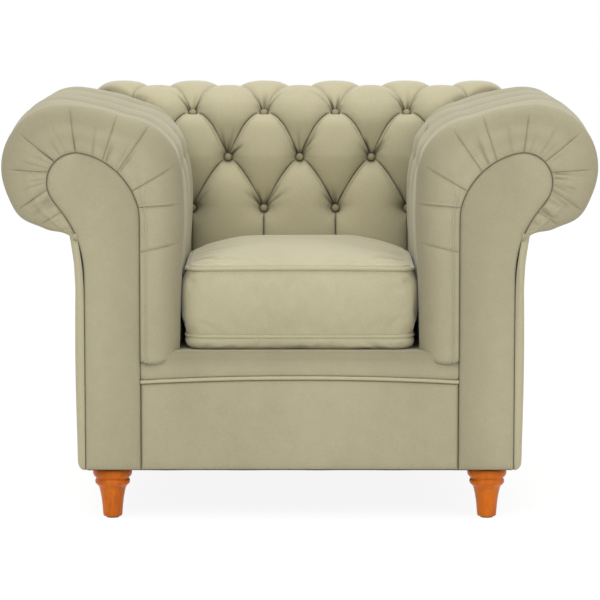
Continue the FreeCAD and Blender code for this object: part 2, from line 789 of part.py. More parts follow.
def make_cushion():
    """Box cushion with a crown above and below, and sides drawn in at both seams."""
    seam_low = CUSHION_BOTTOM + CUSHION_CROWN
    seam_high = CUSHION_BOTTOM + CUSHION_THICKNESS - CUSHION_CROWN
    half = (seam_high - seam_low) / 2
    crown = [crown_ring(share * CROWN_FLAT) for share in (0.0, 0.1, 0.32, 0.64, 1.0)]
    rings = [(inset, seam_low - lift) for inset, lift in reversed(crown)]
    for share in (-0.7, 0.0, 0.7):
        rings.append((CUSHION_SEAM_INSET * abs(share) ** 3, (seam_low + seam_high) / 2 + half * share))
    rings += [(inset, seam_high + lift) for inset, lift in crown]
    profiles = [cushion_outline(inset, height) for inset, height in rings]
    ends = [Part.Face(Part.makePolygon(profile)) for profile in (profiles[0], profiles[-1])]
    parts["seat_cushion"] = sewn(strips(profiles) + ends)
    inset = CUSHION_SEAM_INSET - CUSHION_PIPING_RADIUS - CLEARANCE
    for name, height in (("top", seam_high), ("bottom", seam_low)):
        line = Part.makePolygon(cushion_outline(inset, height))
        parts["cushion_piping_" + name] = piping(line, CUSHION_PIPING_RADIUS)


def make_foot():
    """Turned foot with a bead, a ring and a tapered neck, bored for its bolt."""
    top = FOOT_HEIGHT
    toe = GLIDE_THICKNESS
    bead_end = top * FOOT_BEAD_SHARE
    ring_end = top * FOOT_RING_SHARE
    neck = top * FOOT_NECK_SHARE
    bead = top - bead_end
    ring = bead_end - ring_end
    profile = [
        (0, toe), (FOOT_TOE_RADIUS - FOOT_CHAMFER, toe), (FOOT_TOE_RADIUS, toe + FOOT_CHAMFER),
        (FOOT_NECK_RADIUS, neck),
        (FOOT_NECK_RADIUS + 2.6, (neck + ring_end) / 2), (FOOT_RING_RADIUS - 5, ring_end),
        (FOOT_RING_RADIUS, ring_end + ring * 0.35), (FOOT_RING_RADIUS, ring_end + ring * 0.65),
        (FOOT_GROOVE_RADIUS, bead_end), (FOOT_BEAD_RADIUS, bead_end + bead * 0.35),
        (FOOT_BEAD_RADIUS, bead_end + bead * 0.65), (FOOT_TOP_RADIUS, top), (0, top),
    ]
    outline = Part.makePolygon([Vector(r, 0, z) for r, z in profile + profile[:1]])
    body = Part.Face(outline).revolve(Vector(0, 0, 0), Vector(0, 0, 1), 360)
    bore = Part.makeCylinder(BOLT_RADIUS + BORE_CLEARANCE, BOLT_LENGTH, Vector(0, 0, bolt_bottom()))
    return body.cut(bore)


def bolt_bottom():
    """Lower end of a hanger bolt, half of it in the foot."""
    return FOOT_HEIGHT - BOLT_LENGTH * 0.4


def foot_places():
    """Centre of each foot."""
    front_y = FRONT + FOOT_FRONT_SETBACK
    return [(side * FOOT_FRONT_X, front_y) for side in (-1, 1)] + [
        (side * FOOT_REAR_X, FOOT_REAR_Y) for side in (-1, 1)
    ]


def make_feet():
    """Feet, glides, plates and hanger bolts."""
    foot = make_foot()
    feet = []
    glide = Part.makeCylinder(GLIDE_RADIUS, GLIDE_THICKNESS)
    glides = []
    plates = []
    bolts = []
    for x, y in foot_places():
        shift = Vector(x, y, 0)
        feet.append(foot.translated(shift))
        glides.append(glide.translated(shift))
        half = PLATE_SIZE / 2
        plate = box(x - half, x + half, y - half, y + half, FOOT_HEIGHT, BASE_HEIGHT)
        hole = Part.makeCylinder(BOLT_RADIUS + BORE_CLEARANCE, PLATE_THICKNESS, Vector(x, y, FOOT_HEIGHT))
        plates.append(plate.cut(hole))
        bolts.append(Part.makeCylinder(BOLT_RADIUS, BOLT_LENGTH - 1, Vector(x, y, bolt_bottom() + 0.5)))
    parts["feet"] = Part.Compound(feet)
    parts["foot_glides"] = Part.Compound(glides)
    parts["foot_plates"] = Part.Compound(plates)
    parts["foot_bolts"] = Part.Compound(bolts)


def bolt_holes():
    """Bores for the hanger bolts in the frame."""
    bores = []
    for x, y in foot_places():
        depth = bolt_bottom() + BOLT_LENGTH - BASE_HEIGHT
        bores.append(Part.makeCylinder(BOLT_RADIUS + BORE_CLEARANCE, depth, Vector(x, y, BASE_HEIGHT)))
    return Part.Compound(bores)


def make_frame():
    """Glued and screwed wooden frame."""
    side_inner = FRAME_OUTER_X - RAIL_THICKNESS
    post_inner = FRAME_OUTER_X - POST_THICKNESS
    post_front = FRAME_REAR_Y - POST_DEPTH
    rail_front_y = FRAME_REAR_Y - RAIL_THICKNESS
    board_edge = BOARD_INNER_X + BOARD_REVEAL

    front_rail = box(-board_edge, board_edge, RAIL_FRONT, RAIL_FRONT + RAIL_THICKNESS, BASE_HEIGHT, RAIL_TOP)
    back_rail = box(-post_inner, post_inner, rail_front_y, FRAME_REAR_Y, BASE_HEIGHT, RAIL_TOP)
    side_rail = box(side_inner, FRAME_OUTER_X, BOARD_BACK, post_front, BASE_HEIGHT, RAIL_TOP - SIDE_RAIL_DROP)
    post = box(post_inner, FRAME_OUTER_X, post_front, FRAME_REAR_Y, BASE_HEIGHT, TOP_RAIL_BOTTOM)

    block_front = front_block(side_inner)
    nose_y = rail_front_y - REAR_BLOCK_LENGTH
    reach_x = post_inner - REAR_BLOCK_REACH
    rear_corners = [
        (post_inner, rail_front_y), (post_inner, post_front), (side_inner, post_front),
        (side_inner, nose_y), (side_inner - REAR_BLOCK_NOSE, nose_y),
        (reach_x, rail_front_y - REAR_BLOCK_END), (reach_x, rail_front_y),
    ]
    block_rear = plan_prism(rear_corners, BASE_HEIGHT, BASE_HEIGHT + BLOCK_HEIGHT)

    bores = bolt_holes()

    parts["front_rail"] = front_rail
    parts["back_rail"] = back_rail
    board = make_front_board()
    for side, turned in (("right", False), ("left", True)):
        for name, shape in (("side_rail_", side_rail), ("arm_front_board_", board), ("arm_rear_post_", post)):
            parts[name + side] = flip(shape) if turned else shape
    right_blocks = Part.Compound([block_front.cut(bores), block_rear.cut(bores)])
    parts["corner_blocks"] = Part.Compound(right_blocks.Solids + flip(right_blocks).Solids)
    make_upper_frame(post_front)


def front_block(side_inner):
    """Corner block behind the front board and against the side rail."""
    inner = side_inner - BLOCK_WIDTH
    rear = BOARD_BACK + BLOCK_LENGTH
    corners = [
        (side_inner, BOARD_BACK), (side_inner, rear),
        (inner + BLOCK_BEVEL, rear), (inner, rear - BLOCK_BEVEL), (inner, BOARD_BACK),
    ]
    return plan_prism(corners, BASE_HEIGHT, BASE_HEIGHT + BLOCK_HEIGHT)


def make_upper_frame(post_front):
    """Rails and uprights that carry the arms and the back."""
    upright_rear = FRAME_REAR_Y + UPRIGHT_LAP
    upright_front = upright_rear - UPRIGHT_DEPTH
    head = closed_face(scroll(0.0, BASE_HEIGHT), arm_place, BOARD_BACK)
    rail_end = HALF_DEPTH - BACK_RAIL_START - BACK_RAIL_DEPTH
    top_rail = head_rail(
        head, (TOP_RAIL_START, TOP_RAIL_BOTTOM), TOP_RAIL_START + TOP_RAIL_DEPTH,
        BOARD_BACK, rail_end, arm_place,
    )
    foot = (back_line(DECK_HEIGHT), DECK_HEIGHT)
    back_head = closed_face(
        back_frame_path(0.0, foot, (SCROLL_OUTER_DEPTH, SCROLL_THROAT_HEIGHT)), back_place, -BACK_RAIL_HALF
    )
    parts["back_top_rail"] = head_rail(
        back_head, (BACK_RAIL_START, TOP_RAIL_BOTTOM), BACK_RAIL_START + BACK_RAIL_DEPTH,
        -BACK_RAIL_HALF, BACK_RAIL_HALF, back_place,
    )
    tacking = box(
        BOARD_INNER_X, BOARD_INNER_X + TACKING_RAIL_THICKNESS, BOARD_BACK, upright_front,
        DECK_HEIGHT, DECK_HEIGHT + TACKING_RAIL_HEIGHT,
    )
    uprights = []
    outer_x = BOARD_INNER_X + TACKING_RAIL_THICKNESS / 2
    for x in (-outer_x, -UPRIGHT_INNER_X, UPRIGHT_INNER_X, outer_x):
        half = UPRIGHT_WIDTH / 2
        uprights.append(box(x - half, x + half, upright_front, upright_rear, RAIL_TOP, TOP_RAIL_BOTTOM))
    parts["back_uprights"] = Part.Compound(uprights)
    low, high = DECK_HEIGHT - TACKING_RAIL_HEIGHT, DECK_HEIGHT
    corners = [
        (back_line(low), low), (back_line(high), high),
        (HALF_DEPTH - upright_front, high), (HALF_DEPTH - upright_front, low),
    ]
    half = outer_x + UPRIGHT_WIDTH / 2
    parts["back_tacking_rail"] = prism([back_place(d, z, -half) for d, z in corners], Vector(2 * half, 0, 0))
    for side, turned in (("right", False), ("left", True)):
        for name, shape in (("arm_top_rail_", top_rail), ("arm_tacking_rail_", tacking)):
            parts[name + side] = flip(shape) if turned else shape


def make_webbing():
    """Straps behind the stuffing of the arms and of the back."""
    low = BORE_CLEARANCE
    high = BORE_CLEARANCE + WEBBING_THICKNESS
    first = BOARD_BACK + WEBBING_START
    last = BACK_FOOT_Y - 2 * WEBBING_WIDTH
    step = (last - first) / (WEBBING_COUNT - 1)
    places = [first + k * step for k in range(WEBBING_COUNT)]
    arm = straps(arm_strap_path(low), arm_strap_path(high), arm_place, places)
    parts["arm_webbing_right"] = arm
    parts["arm_webbing_left"] = flip(arm)
    span = 2 * BOARD_INNER_X - 2 * WEBBING_WIDTH
    gap = span / (WEBBING_COUNT - 1)
    places = [-span / 2 + k * gap - WEBBING_WIDTH / 2 for k in range(WEBBING_COUNT)]
    parts["back_webbing"] = straps(back_strap_path(low), back_strap_path(high), back_place, places)


def zigzag(length, centre_x, start_y, bottom):
    """A flat zig-zag spring of square wire, swinging either side of its middle line."""
    waves = int(length / SPRING_WAVE)
    pitch = length / waves
    half = SPRING_SWING / 2
    bevel = pitch / 8
    middle = []
    for wave in range(waves):
        y = start_y + wave * pitch
        middle += [
            (half - bevel, y), (half, y + bevel), (half, y + pitch / 2 - bevel), (half - bevel, y + pitch / 2),
            (bevel - half, y + pitch / 2), (-half, y + pitch / 2 + bevel), (-half, y + pitch - bevel),
            (bevel - half, y + pitch),
        ]
    middle.insert(0, (bevel - half, start_y))
    middle.append((half - bevel, start_y + length))
    path = Part.makePolygon([Vector(centre_x + x, y, bottom + SPRING_WIRE / 2) for x, y in middle])
    start = path.OrderedEdges[0].valueAt(0)
    side = SPRING_WIRE / 2
    corners = [(-side, -side), (side, -side), (side, side), (-side, side), (-side, -side)]
    ring = Part.makePolygon([start + Vector(0, y, z) for y, z in corners])
    return path.makePipeShell([ring], True, False, 1)


def make_suspension():
    """Zig-zag springs in clips, tied across, under the hessian and the platform pad."""
    bottom = RAIL_TOP + CLIP_WALL + CLEARANCE
    start = RAIL_FRONT + RAIL_THICKNESS / 2
    end = FRAME_REAR_Y - RAIL_THICKNESS / 2
    springs = []
    clips = []
    for k in range(SPRING_COUNT):
        x = (k - (SPRING_COUNT - 1) / 2) * SPRING_SPACING
        springs.append(zigzag(end - start, x, start, bottom))
        for y in (start, end):
            clips.append(make_clip(x, y, bottom))
    parts["seat_springs"] = Part.Compound(springs)
    parts["spring_clips"] = Part.Compound(clips)
    reach = (SPRING_COUNT - 1) / 2 * SPRING_SPACING + SPRING_SWING / 2
    low = bottom - TIE_WIRE_RADIUS - CLEARANCE
    wires = []
    for share in (1 / 3, 2 / 3):
        y = start + (end - start) * share
        wires.append(rod(Vector(-reach, y, low), Vector(reach, y, low), TIE_WIRE_RADIUS))
    parts["spring_tie_wires"] = Part.Compound(wires)

    hessian_low = bottom + SPRING_WIRE + BORE_CLEARANCE
    hessian_high = hessian_low + HESSIAN_THICKNESS
    inner = BOARD_INNER_X - PAD_SIDE_CLEARANCE
    front = start + CLIP_LENGTH
    parts["seat_hessian"] = box(-inner, inner, front, end - CLIP_LENGTH, hessian_low, hessian_high)
    pad_rear = BACK_FOOT_Y - PAD_BACK_CLEARANCE
    pad_top = DECK_HEIGHT - DECK_COVER_THICKNESS
    lip_back = BORDER_FRONT + DECK_LIP_SETBACK + DECK_LIP_THICKNESS
    parts["platform_pad"] = box(-inner, inner, lip_back, pad_rear, clip_top(bottom), pad_top)
    make_deck_cover(pad_rear)


def clip_top(bottom):
    """Height of the top of the spring clips."""
    return bottom + SPRING_WIRE + BORE_CLEARANCE + HESSIAN_THICKNESS


def make_clip(x, y, bottom):
    """Folded steel clip that holds the end bar of a spring on its rail."""
    half = CLIP_LENGTH / 2
    top = clip_top(bottom)
    outer = box(x - CLIP_WIDTH / 2, x + CLIP_WIDTH / 2, y - half, y + half, RAIL_TOP, top)
    room = SPRING_WIRE / 2 + CLEARANCE
    slot = box(x - CLIP_WIDTH, x + CLIP_WIDTH, y - room, y + room, bottom - CLEARANCE, top - CLIP_WALL + 1)
    return outer.cut(slot)


def seam_arc(rise, y):
    """The gently arched line of the front seam, at a height from its middle."""
    half = BOARD_INNER_X - CLEARANCE
    middle = SEAM_HEIGHT + rise
    return [Vector(-half, y, middle - SEAM_ARCH), Vector(0, y, middle), Vector(half, y, middle - SEAM_ARCH)]


def make_front_border():
    """Padded front panel with its piped seam."""
    rise = -BORDER_PIPING_RADIUS - CLEARANCE
    left, middle, right = seam_arc(rise, BORDER_FRONT)
    low_left = Vector(left.x, left.y, BASE_HEIGHT)
    low_right = Vector(right.x, right.y, BASE_HEIGHT)
    edges = [curve([left, middle, right])]
    edges += [curve([right, low_right]), curve([low_right, low_left]), curve([low_left, left])]
    parts["front_border"] = Part.Face(Part.Wire(edges)).extrude(Vector(0, BORDER_THICKNESS, 0))
    line = Part.Wire(curve(seam_arc(0.0, BORDER_FRONT + BORDER_PIPING_RADIUS)))
    parts["front_border_piping"] = piping(line, BORDER_PIPING_RADIUS)


def make_deck_cover(rear):
    """Cover of the platform with the lip that drops to the front seam."""
    front = BORDER_FRONT + DECK_LIP_SETBACK
    rise = BORDER_PIPING_RADIUS + CLEARANCE
    left, middle, right = seam_arc(rise, front)
    low = DECK_HEIGHT - DECK_COVER_THICKNESS
    high_left = Vector(left.x, left.y, DECK_HEIGHT)
    high_right = Vector(right.x, right.y, DECK_HEIGHT)
    edges = [curve([left, middle, right])]
    edges += [curve([right, high_right]), curve([high_right, high_left]), curve([high_left, left])]
    lip = Part.Face(Part.Wire(edges)).extrude(Vector(0, DECK_LIP_THICKNESS, 0))
    sheet = box(left.x, right.x, front, rear, low, DECK_HEIGHT)
    parts["deck_cover"] = lip.fuse(sheet).removeSplitter()


def make_upholstery():
    """Covers and stuffing of the arms and of the back."""
    frame = Part.Compound([parts[name] for name in FRAME_IN_STUFFING])
    pad, buttons = make_inside_arm()
    pad = pad.cut(frame)
    facing = make_facing()
    arm_room, back_room = panel_regions()
    outside = outside_panel(ARM_CROWN, arm_place, BOARD_FRONT, HALF_DEPTH).common(arm_room)
    for side, turned in (("right", False), ("left", True)):
        for name, shape in (
            ("inside_arm_", pad), ("arm_buttons_", buttons), ("arm_facing_", facing), ("outside_arm_", outside),
        ):
            parts[name + side] = flip(shape) if turned else shape
    back, parts["back_buttons"] = make_inside_back()
    parts["inside_back"] = back.cut(frame)
    panel = outside_panel(BACK_CROWN, back_place, -HALF_WIDTH, HALF_WIDTH).common(back_room)
    parts["outside_back"] = panel.cut(pad).cut(flip(pad))


def make_dust_cover():
    """Thin cloth under the base, cut away round the foot plates."""
    inner = FRAME_OUTER_X
    sheet = box(-inner, inner, RAIL_FRONT, FRAME_REAR_Y, BASE_HEIGHT - DUST_COVER_THICKNESS, BASE_HEIGHT)
    holes = []
    half = PLATE_SIZE / 2 + CLEARANCE
    for x, y in foot_places():
        holes.append(box(x - half, x + half, y - half, y + half, FOOT_HEIGHT, BASE_HEIGHT))
    parts["dust_cover"] = sheet.cut(Part.Compound(holes))


def main():
    """Builds every piece and writes one STEP file for each."""
    make_feet()
    make_frame()
    make_webbing()
    make_suspension()
    make_front_border()
    make_dust_cover()
    make_upholstery()
    make_cushion()
    os.makedirs("parts", exist_ok=True)
    for name, shape in sorted(parts.items()):
        print(name, shape.isValid(), len(shape.Solids), round(shape.Volume))
        shape.exportStep("parts/" + name + ".step")


main()
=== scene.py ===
"""Looks of a deep-buttoned chesterfield armchair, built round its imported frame.

Sizes are in millimetres and become metres when a mesh is made. Sections of the arms and of the
back are pairs of depth and height, the depth running inwards from the outermost line of the roll.
"""

import json
import logging
import math
from contextlib import contextmanager
from dataclasses import dataclass, field
from enum import Enum
from typing import Callable, Iterator, Sequence

import bmesh
import bpy
import numpy as np
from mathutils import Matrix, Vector


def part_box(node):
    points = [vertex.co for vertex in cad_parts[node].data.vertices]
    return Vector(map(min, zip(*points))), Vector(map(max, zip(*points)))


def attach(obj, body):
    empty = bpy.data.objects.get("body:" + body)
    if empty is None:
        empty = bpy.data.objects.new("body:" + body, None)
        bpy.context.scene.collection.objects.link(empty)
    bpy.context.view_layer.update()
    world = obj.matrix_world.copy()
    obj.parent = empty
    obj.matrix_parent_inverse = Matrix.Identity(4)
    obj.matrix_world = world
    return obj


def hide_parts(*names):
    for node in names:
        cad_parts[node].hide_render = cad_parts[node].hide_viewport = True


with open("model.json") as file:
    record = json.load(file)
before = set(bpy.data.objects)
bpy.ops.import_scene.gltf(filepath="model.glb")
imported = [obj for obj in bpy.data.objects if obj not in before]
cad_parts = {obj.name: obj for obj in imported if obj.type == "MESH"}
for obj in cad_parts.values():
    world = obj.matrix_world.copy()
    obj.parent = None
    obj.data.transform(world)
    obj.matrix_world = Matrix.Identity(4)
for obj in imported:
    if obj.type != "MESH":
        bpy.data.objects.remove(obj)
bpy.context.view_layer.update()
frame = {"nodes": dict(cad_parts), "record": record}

LOG = logging.getLogger("armchair")
MM = 0.001

HALF_WIDTH = 570.0
HALF_DEPTH = 450.0
BOARD_FRONT = -442.0
DECK_HEIGHT = 330.0
BASE_HEIGHT = 100.0
SEAT_HALF = 224.0
BACK_FOOT = 130.0
MITRE_WIDTH = HALF_WIDTH - SEAT_HALF
MITRE_DEPTH = HALF_DEPTH - BACK_FOOT
PANEL_DEPTH = 142.0
LOW_GAP = 0.3
NEAR_ZERO = 1e-6
FOOT_PLACES = ((-363.0, -395.0), (363.0, -395.0), (-352.0, 238.0), (352.0, 238.0))
CHORD = math.sqrt(0.5)

Points = Sequence[Sequence[float]]
Seats = Sequence[tuple[Sequence[float], Sequence[float]]]
Rgba = tuple[float, float, float, float]


class Side(Enum):
    """The two sides of the chair, as seen from the front."""

    LEFT = -1
    RIGHT = 1

    @property
    def word(self) -> str:
        """The side's word in piece names."""
        return self.name.lower()


class Body(Enum):
    """The bodies that pieces ride on."""

    CHAIR = "chair"
    CUSHION = "cushion"


def smooth(value: np.ndarray, low: float, high: float) -> np.ndarray:
    """A smooth step from 0 at low to 1 at high.

    Args:
        value: Numbers to step.
        low: Where the step starts.
        high: Where it ends.

    Returns:
        The stepped numbers.
    """
    share = np.clip((np.asarray(value, float) - low) / (high - low), 0.0, 1.0)
    return share * share * (3.0 - 2.0 * share)


def hill(value: np.ndarray, spread: np.ndarray | float, centre: float = 0.0) -> np.ndarray:
    """A bell curve of height 1 round a centre."""
    return np.exp(-(((value - centre) / spread) ** 2))


# Shapes along a section


@dataclass
class Section:
    """A line over a part of the upholstery, drawn from straight runs and arcs."""

    start: tuple[float, float]
    rounding: float = 9.0
    pieces: list[np.ndarray] = field(default_factory=list)

    def line(self, end: tuple[float, float]) -> "Section":
        """Adds a straight run to a point."""
        first = self.pieces[-1][-1] if self.pieces else np.array(self.start, float)
        count = max(2, int(np.hypot(*(np.array(end) - first))) + 1)
        share = np.linspace(0.0, 1.0, count)[:, None]
        self.pieces.append(first + (np.array(end, float) - first) * share)
        return self

    def arc(self, through: tuple[float, float], end: tuple[float, float]) -> "Section":
        """Adds an arc through a point to another.

        Args:
            through: A point on the arc.
            end: Its last point.

        Returns:
            The section itself.
        """
        first = self.pieces[-1][-1] if self.pieces else np.array(self.start, float)
        a, b, c = first, np.array(through, float), np.array(end, float)
        lhs = 2.0 * np.array([b - a, c - a])
        centre = np.linalg.solve(lhs, np.array([b @ b - a @ a, c @ c - a @ a]))
        angles = [math.atan2(*(p - centre)[::-1]) for p in (a, b, c)]
        sweep = (angles[2] - angles[0]) % math.tau
        if (angles[1] - angles[0]) % math.tau > sweep:
            sweep -= math.tau
        radius = float(np.hypot(*(a - centre)))
        count = max(3, int(abs(sweep) * radius) + 1)
        turn = angles[0] + np.linspace(0.0, sweep, count)
        self.pieces.append(centre + radius * np.stack([np.cos(turn), np.sin(turn)], 1))
        return self

    def shaped(self, change: Callable[[np.ndarray], np.ndarray] | None = None) -> "Shape":
        """The finished line.

        Args:
            change: Moves the points before the line is smoothed.

        Returns:
            The line, measured along its length.
        """
        points = np.concatenate([p if k == 0 else p[1:] for k, p in enumerate(self.pieces)])
        if change is not None:
            points = change(points)
        return Shape.through(points, self.rounding)


@dataclass
class Shape:
    """A smooth line with its points and outward directions by length."""

    lengths: np.ndarray
    points: np.ndarray
    outward: np.ndarray

    @classmethod
    def through(cls, points: np.ndarray, rounding: float) -> "Shape":
        """A line through points whose corners are rounded.

        Args:
            points: The points, about a millimetre apart.
            rounding: Spread of the rounding.

        Returns:
            The line.
        """
        steps = np.hypot(*np.diff(points, axis=0).T)
        lengths = np.concatenate([[0.0], np.cumsum(steps)])
        total = float(lengths[-1])
        even = np.linspace(0.0, total, int(total) + 1)
        line = np.stack([np.interp(even, lengths, points[:, k]) for k in (0, 1)], 1)
        reach = int(rounding * 3)
        kernel = np.exp(-0.5 * (np.arange(-reach, reach + 1) / max(rounding, NEAR_ZERO)) ** 2)
        kernel /= kernel.sum()
        before = 2 * line[0] - line[reach:0:-1]
        after = 2 * line[-1] - line[-2:-reach - 2:-1]
        padded = np.concatenate([before, line, after])
        line = np.stack([np.convolve(padded[:, k], kernel, "valid") for k in (0, 1)], 1)
        heading = np.gradient(line, axis=0)
        heading /= np.hypot(*heading.T)[:, None]
        return cls(even, line, np.stack([heading[:, 1], -heading[:, 0]], 1))

    @property
    def length(self) -> float:
        """The whole length."""
        return float(self.lengths[-1])

    def at(self, length: np.ndarray) -> np.ndarray:
        """Points at lengths."""
        return np.stack([np.interp(length, self.lengths, self.points[:, k]) for k in (0, 1)], -1)

    def normal(self, length: np.ndarray) -> np.ndarray:
        """Outward directions at lengths."""
        return np.stack([np.interp(length, self.lengths, self.outward[:, k]) for k in (0, 1)], -1)

    def inset(self, length: np.ndarray, amount: np.ndarray | float) -> np.ndarray:
        """Points moved inwards by an amount."""
        return self.at(length) - self.normal(length) * np.asarray(amount)[..., None]

    def nearest(self, point: tuple[float, float]) -> float:
        """The length of the place nearest to a point."""
        return float(self.lengths[np.argmin(np.hypot(*(self.points - np.array(point)).T))])


def roll(section: Section, height: float) -> Section:
    """Adds the round roll and its neck to a section that ends on the roll's top.

    Args:
        section: The section.
        height: Height of the roll's top.

    Returns:
        The section.
    """
    radius, turn = 121.0, math.radians(65.0)
    centre = height - radius
    half = radius * CHORD
    section.arc((radius - half, centre + half), (0.0, centre))
    low = (radius - radius * math.cos(turn), centre - radius * math.sin(turn))
    section.arc((radius - radius * math.cos(turn / 2), centre - radius * math.sin(turn / 2)), low)
    return section.line((low[0] + 53.0, low[1] - 27.0))


def arm_shape() -> Shape:
    """The crown of the arm, fuller above the cushion and drawn in beside it."""
    section = Section((346.0, 330.0)).line((346.0, 655.0))
    section.arc((316.9, 739.0), (240.0, 778.0)).arc((180.5, 795.5), (121.0, 803.0))
    roll(section, 803.0)

    def lean(points: np.ndarray) -> np.ndarray:
        heights = [330.0, 400.0, 480.0, 540.0, 590.0, 640.0, 690.0]
        moves = [-7.0, -5.5, -2.5, 2.0, 3.5, 2.0, 0.0]
        moved = points.copy()
        inner = points[:, 0] > 200.0
        moved[inner, 0] += np.interp(points[inner, 1], heights, moves)
        return moved

    return section.shaped(lean)


def back_shape() -> Shape:
    """The crown of the back, raked and rolled over at the top."""
    section = Section((320.0, 330.0)).line((254.0, 735.0)).arc((210.0, 793.0), (121.0, 813.0))
    return roll(section, 813.0).shaped()


def scroll_shape(offset: float = 0.0, rounding: float = 5.0, bottom: float = BASE_HEIGHT) -> Shape:
    """Outline of the arm facing, from its inner foot over the head to its outer foot.

    Args:
        offset: How far the outline is grown.
        rounding: Spread of the rounding of its corners.
        bottom: Height of its lower edge.

    Returns:
        The outline.
    """
    radius, turn = 58.0 + offset, math.radians(40.0)
    centre = (145.0, 654.0)
    corner = radius * CHORD
    section = Section((264.0 + offset, bottom), rounding).line((264.0 + offset, 540.0))
    section.arc((241.0 + offset * 0.9, 652.0 + offset * 0.5), (centre[0], centre[1] + radius))
    section.arc((centre[0] - corner, centre[1] + corner), (centre[0] - radius, centre[1]))
    section.arc(
        (centre[0] - radius * math.cos(turn / 2), centre[1] - radius * math.sin(turn / 2)),
        (centre[0] - radius * math.cos(turn), centre[1] - radius * math.sin(turn)),
    )
    section.arc((141.0 - offset * 0.9, 556.0 - offset * 0.4), (158.0 - offset, 470.0))
    section.line((158.0 - offset, bottom))
    return section.shaped(lambda points: np.minimum(points, [264.0 + offset, 1e4]))


ARM = arm_shape()
BACK = back_shape()


def mitre_y(x: np.ndarray | float) -> np.ndarray | float:
    """The line where an arm meets the back, by distance from the middle."""
    return BACK_FOOT + (abs(x) - SEAT_HALF) * MITRE_DEPTH / MITRE_WIDTH


# Meshes


def grid_of(x: np.ndarray, y: np.ndarray, z: np.ndarray) -> np.ndarray:
    """A grid of points from its three parts, which are spread to one size."""
    return np.stack(np.broadcast_arrays(x, y, z), -1)


@contextmanager
def editing(piece: bpy.types.Object) -> Iterator[bmesh.types.BMesh]:
    """Opens the mesh of a piece for changes and writes them back."""
    work = bmesh.new()
    work.from_mesh(piece.data)
    yield work
    work.to_mesh(piece.data)
    work.free()


def new_object(name: str, data: bpy.types.ID) -> bpy.types.Object:
    """An object for a mesh, a light or a camera, in the scene."""
    made = bpy.data.objects.new(name, data)
    bpy.context.scene.collection.objects.link(made)
    return made


def mesh_from(
    name: str, points: np.ndarray, faces: Sequence[Sequence[int]], is_smooth: bool = True
) -> bpy.types.Object:
    """An object from points in millimetres.

    Args:
        name: Its name.
        points: Points, one row each.
        faces: Corners of each face.
        is_smooth: Whether it is shaded smooth.

    Returns:
        The object.
    """
    mesh = bpy.data.meshes.new(name)
    mesh.from_pydata((np.asarray(points) * MM).tolist(), [], [list(map(int, f)) for f in faces])
    mesh.polygons.foreach_set("use_smooth", [is_smooth] * len(mesh.polygons))
    mesh.validate()
    return new_object(name, mesh)


def mark(piece: bpy.types.Object, folds: np.ndarray) -> bpy.types.Object:
    """Keeps on each point a painted shade, from 0 to 1, by which the pile's colour is darkened in folds,
    seams and corners.
    """
    layer = piece.data.attributes.new("fold", "FLOAT", "POINT")
    layer.data.foreach_set("value", np.clip(folds, 0.0, 1.0).astype(np.float32).ravel())
    return piece


def tube(name: str, grid: np.ndarray, is_capped: bool = True) -> bpy.types.Object:
    """A tube from a grid of points whose columns are its rings.

    Args:
        name: Its name.
        grid: Points in rows along the tube, in millimetres.
        is_capped: Whether its ends are closed.

    Returns:
        The object.
    """
    rows, columns = grid.shape[:2]
    index = np.arange(rows * columns).reshape(rows, columns)
    following = np.roll(index, -1, axis=0)
    quads = np.stack([index[:, :-1], index[:, 1:], following[:, 1:], following[:, :-1]], -1)
    faces = quads.reshape(-1, 4).tolist()
    if is_capped:
        faces.append(index[:, 0].tolist())
        faces.append(index[::-1, -1].tolist())
    return mesh_from(name, grid.reshape(-1, 3), faces)


def tidy(piece: bpy.types.Object, distance: float = 0.01) -> bpy.types.Object:
    """Merges doubles and turns all faces outwards.

    Args:
        piece: The object.
        distance: Merging distance in millimetres.

    Returns:
        The object.
    """
    with editing(piece) as work:
        bmesh.ops.remove_doubles(work, verts=work.verts, dist=distance * MM)
        bmesh.ops.dissolve_degenerate(work, edges=work.edges, dist=distance * MM)
        bmesh.ops.recalc_face_normals(work, faces=work.faces)
    return piece


def clip(piece: bpy.types.Object, point: Sequence[float], normal: Sequence[float]) -> bpy.types.Object:
    """Cuts away what lies on the far side of a plane and closes the cut.

    Args:
        piece: A closed mesh.
        point: A point of the plane, in millimetres.
        normal: Direction of the side that goes.

    Returns:
        The object.
    """
    with editing(piece) as work:
        geometry = work.verts[:] + work.edges[:] + work.faces[:]
        plane = {"plane_co": Vector(point) * MM, "plane_no": Vector(normal)}
        cut = bmesh.ops.bisect_plane(work, geom=geometry, dist=NEAR_ZERO, clear_outer=True, **plane)
        rim = [e for e in cut["geom_cut"] if isinstance(e, bmesh.types.BMEdge) and e.is_boundary]
        made = bmesh.ops.edgenet_fill(work, edges=rim, sides=0)
        for face in made["faces"]:
            face.smooth = False
    return piece


